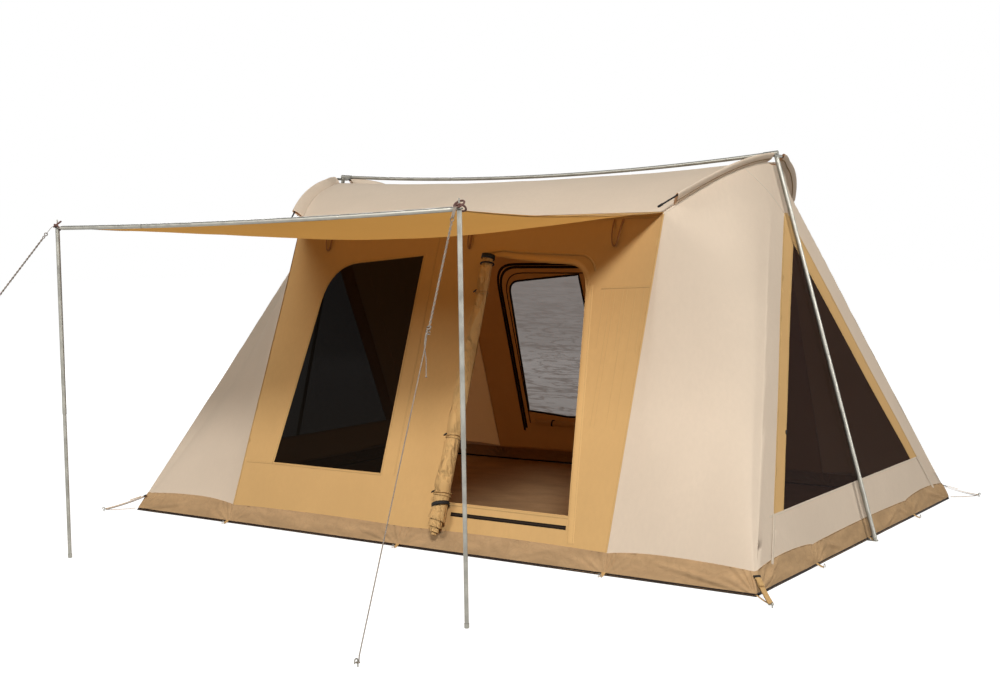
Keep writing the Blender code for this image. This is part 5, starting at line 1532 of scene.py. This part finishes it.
def rope_frame(side):
    """The strap's eye, the peg's hook and the rope's own axes."""
    top, peg, level = guy_place(side)
    down = (peg - top).normalized()
    eye = top + level * 0.018 + (level + down).normalized() * 0.016 + down * (STRAP_LENGTH - 0.008 - 0.034)
    hook = peg + UP * LOOP_HEIGHT
    up = (eye - hook).normalized()
    out = up.cross(level.cross(UP)).normalized()
    return eye - up * (ROPE_SPACING / 2 + EYE_RADIUS - ROPE_RADIUS - 0.0003), hook, up, out


def rope_route(side):
    """From round the peg, up through the hitch, through the strap's eye and back, twisted, to the hitch."""
    eye, hook, up, out = rope_frame(side)
    level = guy_place(side)[2]
    sideways = up.cross(out)
    across = level.cross(UP)
    length = (eye - hook).length
    half = ROPE_SPACING / 2
    split = length * SLIDER_SHARE
    turns = round((length - split) / TWIST_LENGTH)
    parting = 16.0

    def twisted(k, sign):
        width = mix(half, TWIST_RADIUS, ease(min(1.0, parting * k, parting * (1 - k))))
        return hook + up * mix(split, length, k) + turned(out, sideways, 2 * pi * turns * k) * width * sign

    points = []
    for angle in between(-300, 10, 16):
        turn = radians(angle)
        points.append(hook - level * PEG_TURN * cos(turn) + across * PEG_TURN * sin(turn))
    points += [hook + up * mix(0.026, split - 0.06, k) for k in between(0, 1, 40)]
    points += [twisted(k, 1) for k in between(0, 1, turns * 12)]
    points += [eye + turned(out, up, t) * half for t in between(0, pi, 8)[1:-1]]
    points += [twisted(k, -1) for k in between(1, 0, turns * 12)]
    return points


def guys():
    """Each guy rope with its hitch, and the free tail that hangs from it."""
    for side, word in SIDES:
        eye, hook, up, out = rope_frame(side)
        _, peg, level = guy_place(side)
        split = (eye - hook).length * SLIDER_SHARE
        body = f"slider_{word}"
        knot = []
        for start, spin in HITCH_TURNS:
            loop = []
            for k in between(0, 1, 22):
                turn = 2 * pi * k + spin
                wide = out * cos(turn) * HITCH_HALF_WIDTH + up.cross(out) * sin(turn) * HITCH_HALF_DEPTH
                loop.append(hook + up * (split + start + HITCH_RISE * k) + wide)
            knot.append(tube_mesh("turn", loop, HITCH_CORD))
        hitch = joined("hitch", knot)
        hitch = add_object(f"guy_hitch_{word}", hitch, ROPE_PAINT, body, [f"guy_slider_{word}"])
        route = rope_route(side)
        line = tube_mesh("guy", route, BRAID_RADIUS)
        rope = add_object(f"guy_line_{word}", line, ROPE_PAINT, instead_of=[f"guy_rope_{word}"])
        length = length_of(route)
        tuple(route[0])
        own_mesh(rope)
        start = hook + up * (split - 0.012) + out * 0.011
        tail = []
        for k in between(0, 1, 24):
            below = start + UP * (-TAIL_LENGTH * k)
            tail.append(below + out * 0.010 * sin(pi * min(1, k * 1.6)) + level * 0.006 * k)
        end = [tail[-1] + UP * (-TAIL_KNOT_LENGTH * k) for k in between(0, 1, 6)]
        bead = tube_mesh("bead", end, lambda k: 0.0018 + 0.0030 * sin(pi * k))
        bead = add_object(f"guy_tail_knot_{word}", bead, ROPE_PAINT, body)
        piece = add_object(f"guy_tail_{word}", tube_mesh("tail", tail, BRAID_RADIUS), ROPE_PAINT, body)
        length_of(tail)


# Corner straps

STRAP_WEB_WIDTH = 0.025
STRAP_TOP = BAND_HEIGHT - 0.010
STRAP_REACH = 0.187
STRAP_SAG = 0.006
CORD_SAG = 0.003
BUCKLE_HALF = 0.0155
BUCKLE_WIRE = 0.0026
BUCKLE_BARS = (0.055, 0.075, 0.100)
HOOK_WIRE = 0.0030
HOOK_RING = 0.0018
POLE_RING_CORD = 0.0046


def hanging(start, end, sag):
    """A line from start to end that hangs a little, as a function of the share along it."""
    return lambda k: start.lerp(end, k) - UP * sag * sin(pi * k)


def corner_strap(side, facing, name):
    out = Vector((side, facing, 0)).normalized()
    across = Vector((-out.y, out.x, 0))
    corner = Vector((side * HALF_W, facing * HALF_D, 0))
    grip = wall_at(2.62, STRAP_TOP / RIDGE_HEIGHT, (side, -facing), 0.002)
    start = Vector((grip.x, grip.y, STRAP_TOP))
    foot = corner + out * STRAP_REACH + UP * 0.014
    normal = (foot - start).normalized().cross(across)
    normal = normal if normal.z > 0 else -normal
    drop = hanging(start, foot, STRAP_SAG)
    cord = hanging(corner + out * 0.006 + UP * 0.010, foot - UP * 0.004, CORD_SAG)
    webs = Strips()
    webs.add([(drop(k) + normal * 0.0012, normal) for k in between(0.10, 1.0, 20)], STRAP_WEB_WIDTH, 0.0016)
    webs.add([(drop(k) - normal * 0.0030, -normal) for k in between(0.0, 1.0, 20)], STRAP_WEB_WIDTH, 0.0016)
    free = [(drop(k) + normal * (0.0045 + 0.012 * k), normal) for k in between(0.16, 0.42, 10)]
    webs.add(free, STRAP_WEB_WIDTH, 0.0014)
    webs.add([(cord(k), UP) for k in between(0, 0.97, 14)], 0.010, 0.0012)
    ladder = []
    for k in BUCKLE_BARS:
        middle = drop(k) + normal * 0.003
        bar = [middle - across * BUCKLE_HALF, middle, middle + across * BUCKLE_HALF]
        ladder.append(tube_mesh("bar", bar, BUCKLE_WIRE))
    for turn in (-1, 1):
        rail = [drop(k) + normal * 0.003 + across * BUCKLE_HALF * turn for k in between(0.05, 0.105, 5)]
        ladder.append(tube_mesh("rail", rail, BUCKLE_WIRE))
    bend = [(0.012 - 0.006 * sin(t), 0.004 - 0.006 * cos(t)) for t in between(0, pi, 8)]
    hook = [foot + out * x + UP * z for x, z in [(0.012, -0.014)] + bend + [(0.018, 0.010), (0.021, 0.002)]]
    ring = circle(foot + out * 0.004, out, across, 0.010)
    wires = [tube_mesh("hook", hook, HOOK_WIRE), tube_mesh("ring", ring, HOOK_RING, True)]
    webs.piece(f"corner_strap_{name}", WEBBING, instead_of=[f"corner_anchor_{name}"])
    add_object(f"corner_buckle_{name}", joined("buckle", ladder), DARK_PLASTIC)
    add_object(f"corner_hook_{name}", joined("hook", wires), GALVANISED)


def corner_straps():
    """Each corner's adjustable strap: folded webbing through a ladder buckle, down to a wire peg."""
    for side, word in SIDES:
        for facing, end in ENDS:
            corner_strap(side, facing, f"{end}_{word}")


def pole_rings():
    """Leather rings over each pole's spike, one lying on the bar's end and one hanging beside it."""
    for side, word in SIDES:
        top, _, level = guy_place(side)
        across = level.cross(UP)
        low = (level - UP * 0.75).normalized()
        lying = circle(top + UP * 0.012, across, low, 0.023)
        aside = (across + level * 0.4).normalized()
        lean = (UP + level * 0.9).normalized()
        beside = circle(top + (across * -0.010 + UP * -0.004), aside, lean, 0.019)
        rings = [tube_mesh("ring", line, POLE_RING_CORD, True) for line in (lying, beside)]
        add_object(f"pole_ring_{word}", joined("rings", rings), LEATHER, f"pole_{word}_top")


# Studio

AMBIENT = 0.02
FLOOR_REACH = 60.0
FLOOR_Z = -0.0015
WHITE_FROM = 5.0
WHITE_TO = 10.0
TENT_MIDDLE = Vector((0, -0.5, 0.9))
LAMPS = (
    ("key", (0.56, -0.74, 0.54), 15.0, (2.2, 2.2), 1540.0, (1.0, 0.99, 0.975)),
    ("front_fill", (-0.30, -0.85, 0.40), 13.0, (4.0, 4.0), 700.0, (1.0, 0.975, 0.94)),
    ("side_fill", (0.95, 0.06, 0.30), 13.0, (4.0, 4.0), 530.0, (1.0, 0.98, 0.95)),
    ("top_fill", (0.1, 0.25, 1.0), 11.0, (5.0, 5.0), 120.0, (1.0, 0.99, 0.97)),
    ("back_fill", (-0.75, 0.62, 0.35), 13.0, (5.0, 4.0), 600.0, (1.0, 0.99, 0.97)),
)


def studio_floor():
    """A pale floor: white to the camera away from the tent, with the tent's shadow on it."""
    paint = Paint("studio_floor", None, 1.0)
    paint.colour((0.08, 0.075, 0.07))
    away = paint.node("ShaderNodeVectorMath", {0: paint.place()}, operation="LENGTH")["Value"]
    whiter = paint.spread(away, WHITE_FROM, WHITE_TO, 0.86, 1.0)
    white = paint.node("ShaderNodeEmission", {"Strength": whiter})
    lit = paint.node("ShaderNodeBsdfDiffuse", {"Color": (0.36, 0.36, 0.36)})
    paint.cover(paint.seen(), paint.node("ShaderNodeAddShader", {0: white[0], 1: lit[0]}))
    floor = bpy.data.meshes.new("studio_floor")
    corners = [(x * FLOOR_REACH, y * FLOOR_REACH, FLOOR_Z) for x, y in ((-1, -1), (1, -1), (1, 1), (-1, 1))]
    floor.from_pydata(corners, [], [(0, 1, 2, 3)])
    floor.materials.append(paint.material)
    ground = bpy.data.objects.new("studio_floor", floor)
    bpy.context.scene.collection.objects.link(ground)


def studio():
    studio_floor()
    world = bpy.data.worlds.new("studio")
    bpy.context.scene.world = world
    world.use_nodes = True
    sky = Nodes(world.node_tree)
    strength = sky.spread(sky.seen(), 0.0, 1.0, AMBIENT, 1.0)
    sky.feed(sky.nodes["Background"], {"Color": (1, 1, 1), "Strength": strength})
    for name, towards, distance, size, power, colour in LAMPS:
        place = TENT_MIDDLE + Vector(towards).normalized() * distance
        lamp = bpy.data.lights.new(name, "AREA")
        lamp.shape = "RECTANGLE"
        lamp.size, lamp.size_y = size
        lamp.energy = power
        lamp.color = colour
        lamp_object = bpy.data.objects.new(name, lamp)
        lamp_object.location = place
        lamp_object.rotation_mode = "QUATERNION"
        lamp_object.rotation_quaternion = (TENT_MIDDLE - place).to_track_quat("-Z", "Y")
        bpy.context.scene.collection.objects.link(lamp_object)
    bpy.context.scene.view_settings.view_transform = "Standard"


def frame_finishes():
    """Better finishes on the CAD nodes that stay."""
    tubes = ("ridge_tube", "hub", "upright", "foot_pin", "awning_bar", "pole_upper", "pole_lower")
    finishes = {
        GALVANISED: (*tubes, "guy_peg"),
        ROD_BLACK: ("bow_rod",),
        ROPE_PAINT: ("pole_strap",),
        DARK_PLASTIC: ("zip_puller",),
    }
    for finish, starts in finishes.items():
        for name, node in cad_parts.items():
            if name.startswith(starts):
                node.data.materials.clear()
                node.data.materials.append(finish)


frame_finishes()
main_cloth()
flat_cloth()
awning_cloth()
tray_band()
tray_floor()
sleeves()
front_trims()
door_hood()
back_trims()
side_trims()
awning_trims()
door_roll()
cover_roll()
eave_loops()
peg_loops()
guys()
corner_straps()
pole_rings()
studio()
